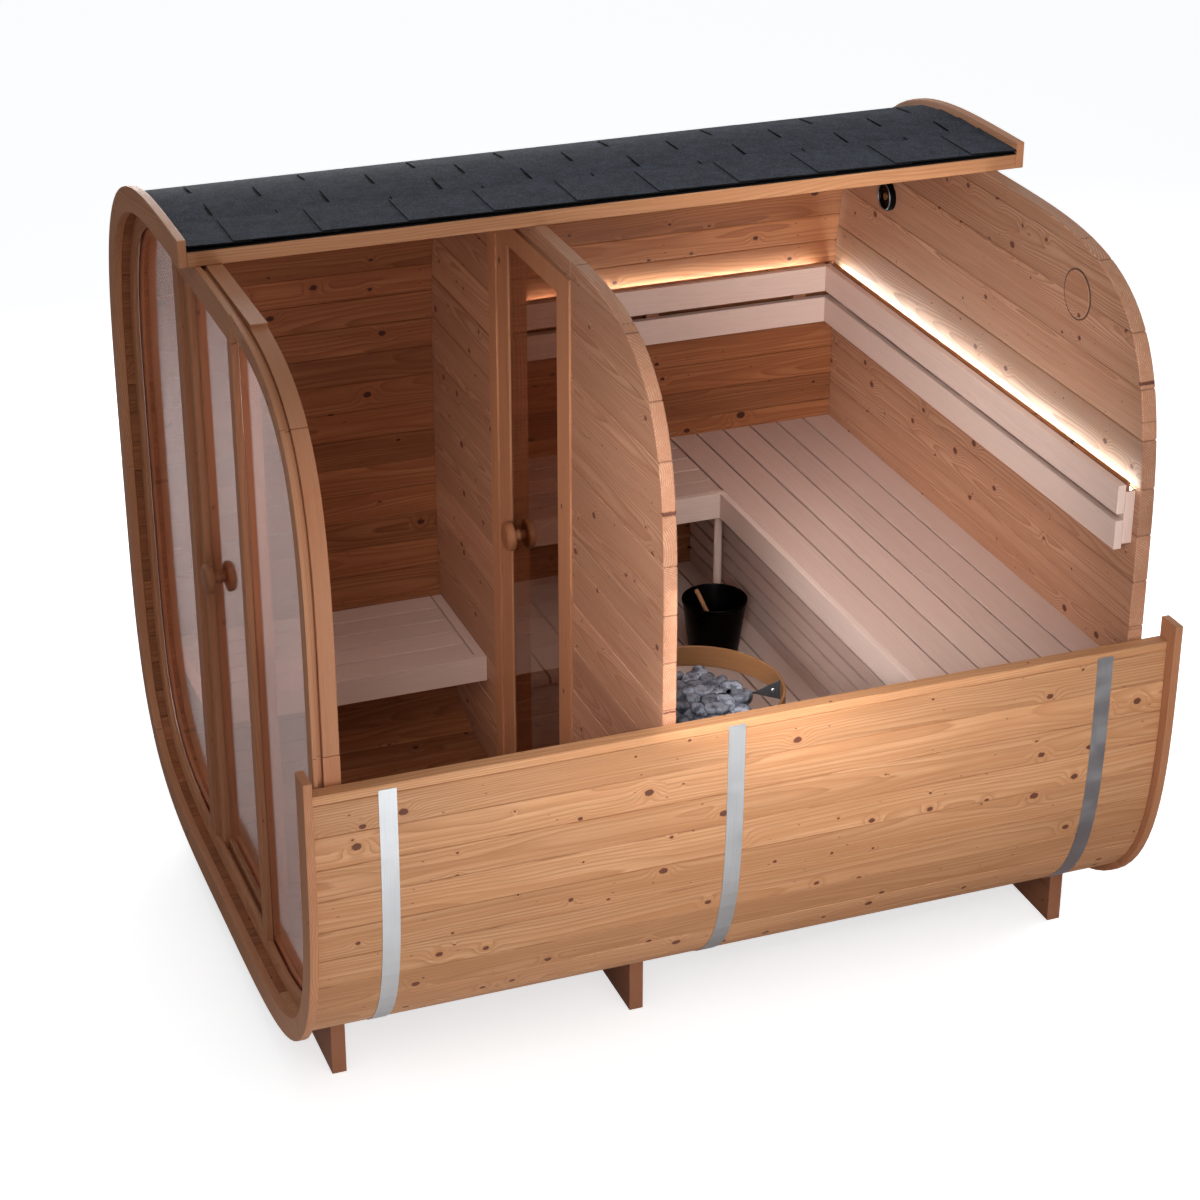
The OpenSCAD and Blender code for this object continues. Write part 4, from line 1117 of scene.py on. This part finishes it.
studio = {"white": 1.0, "ambient": 0.16, "floorReach": 40.0, "floor": (0.80, 0.83, 0.85), "floorLift": 0.66,
          "floorGlow": (0.92, 0.92, 0.93), "floorDusk": (0.31, 0.26, 0.27), "glowAt": (3.1, -1.6),
          "glowReach": (1.2, 3.4), "sun": 0.85, "sunAngle": 60.0, "sunFrom": (0.60, 0.02, 0.80)}
lamps = {
    "roomLamp": {
        "power": 3.6, "size": (0.8, 0.8), "spread": 95, "at": (1.2, 0.5, 2.3), "aim": (-0.6, 1.0, 1.6)},
    "sideLamp": {
        "power": 66.0, "size": (3.4, 0.9), "spread": 180, "at": (4.6, -0.1, 0.45), "aim": (1.0, 0.0, 0.45)},
    "frontLamp": {
        "power": 10.0, "size": (1.8, 1.8), "spread": 180, "at": (2.2, -5.0, 1.6), "aim": (0.2, -1.2, 1.2)},
    "fillLamp": {
        "power": 7.4, "size": (0.8, 0.8), "spread": 40, "at": (3.2, -1.6, 2.6), "aim": (0.3, 0.45, 1.28)},
    "benchLamp": {
        "power": 1.4, "size": (0.5, 0.4), "spread": 80, "at": (1.25, -0.12, 1.3), "aim": (0.0, 0.9, 0.80)},
    "farLamp": {
        "power": 130.0, "size": (3.0, 2.0), "spread": 180, "at": (-5.0, 0.0, 2.4), "aim": (-1.0, 0.0, 1.1)},
    "rearLamp": {
        "power": 110.0, "size": (2.5, 2.0), "spread": 180, "at": (0.0, 5.4, 2.2), "aim": (0.0, 1.2, 1.1)},
}
cameraView = {"place": (7.256, -2.792, 4.764), "azimuth": 69.42, "elevation": 26.17, "lens": 85.0}


def seenRays(tree, mirrored=1.0):
    path = add(tree, "LightPath")
    mirror = times(tree, path.outputs["Is Glossy Ray"], mirrored)
    direct = calc(tree, "MAXIMUM", path.outputs["Is Camera Ray"], path.outputs["Is Transmission Ray"])
    return calc(tree, "MAXIMUM", mirror, direct)


def pickShader(tree, choice, first, second):
    mix = add(tree, "MixShader")
    for socket, value in zip(mix.inputs, (choice, first.outputs[0], second.outputs[0])):
        plug(tree, value, socket)
    return mix.outputs[0]


def makeWorld(spec):
    world = bpy.data.worlds.new("studio")
    bpy.context.scene.world = world
    world.use_nodes = True
    tree = world.node_tree
    tree.nodes.clear()
    plain = add(tree, "Background", {"Color": (1, 1, 1, 1), "Strength": spec["ambient"]})
    bright = add(tree, "Background", {"Color": (1, 1, 1, 1), "Strength": spec["white"]})
    out = add(tree, "OutputWorld")
    tree.links.new(pickShader(tree, seenRays(tree), plain, bright), out.inputs[0])


def makeFloor(spec):
    mat, tree, shader = freshMaterial("studioFloor")
    setSockets(tree, shader, {"Base Color": rgb(spec["floor"]), "Roughness": 0.9,
                              "Specular IOR Level": 0.0})
    lift = add(tree, "Emission", {"Color": (1, 1, 1, 1), "Strength": spec["floorLift"]})
    both = add(tree, "AddShader")
    tree.links.new(shader.outputs[0], both.inputs[0])
    tree.links.new(lift.outputs[0], both.inputs[1])
    # bounced and mirrored rays meet a painted pool of light beside the near corner, fading to painted dusk further
    # off
    apart = vec(tree, "SUBTRACT", objectPlace(tree), (*spec["glowAt"], 0.0))
    dusk = remap(tree, vec(tree, "LENGTH", apart), *spec["glowReach"])
    colour = tint(tree, dusk, rgb(spec["floorGlow"]), rgb(spec["floorDusk"]))
    bounce = add(tree, "BsdfDiffuse", {"Color": colour})
    seen = seenRays(tree, calc(tree, "SUBTRACT", 1.0, dusk))
    surface = tree.nodes["Material Output"].inputs["Surface"]
    tree.links.new(pickShader(tree, seen, bounce, both), surface)
    side = spec["floorReach"]
    mesh = bpy.data.meshes.new("studioFloor")
    corners = [(-side, -side, 0), (side, -side, 0), (side, side, 0), (-side, side, 0)]
    mesh.from_pydata(corners, [], [[0, 1, 2, 3]])
    mesh.materials.append(mat)
    floor = bpy.data.objects.new("studioFloor", mesh)
    bpy.context.collection.objects.link(floor)
    floor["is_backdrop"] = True


def makeLamp(name, spec):
    lamp = bpy.data.lights.new(name, "AREA")
    lamp.shape = "RECTANGLE"
    lamp.energy = spec["power"]
    lamp.size, lamp.size_y = spec["size"]
    lamp.spread = math.radians(spec["spread"])
    obj = bpy.data.objects.new(name, lamp)
    obj.location = spec["at"]
    obj.rotation_euler = (Vector(spec["at"]) - Vector(spec["aim"])).to_track_quat("Z", "Y").to_euler()
    bpy.context.collection.objects.link(obj)


def makeSun(spec):
    lamp = bpy.data.lights.new("softSun", "SUN")
    lamp.energy = spec["sun"]
    lamp.angle = math.radians(spec["sunAngle"])
    sun = bpy.data.objects.new("softSun", lamp)
    sun.rotation_euler = Vector(spec["sunFrom"]).to_track_quat("Z", "Y").to_euler()
    bpy.context.collection.objects.link(sun)


def addCamera(spec):
    lens = bpy.data.cameras.new("camera")
    lens.lens = spec["lens"]
    lens.sensor_width = 36
    camera = bpy.data.objects.new("camera", lens)
    camera.location = spec["place"]
    camera.rotation_euler = (math.radians(90 - spec["elevation"]), 0, math.radians(spec["azimuth"]))
    bpy.context.collection.objects.link(camera)
    bpy.context.scene.camera = camera


makeWorld(studio)
makeFloor(studio)
makeSun(studio)
for name, spec in lamps.items():
    makeLamp(name, spec)
addCamera(cameraView)
bpy.context.scene.view_settings.view_transform = "Standard"
print("studio set")

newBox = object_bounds()
[[list(map(float, corner)) for corner in box] for box in (cadBox, newBox)]
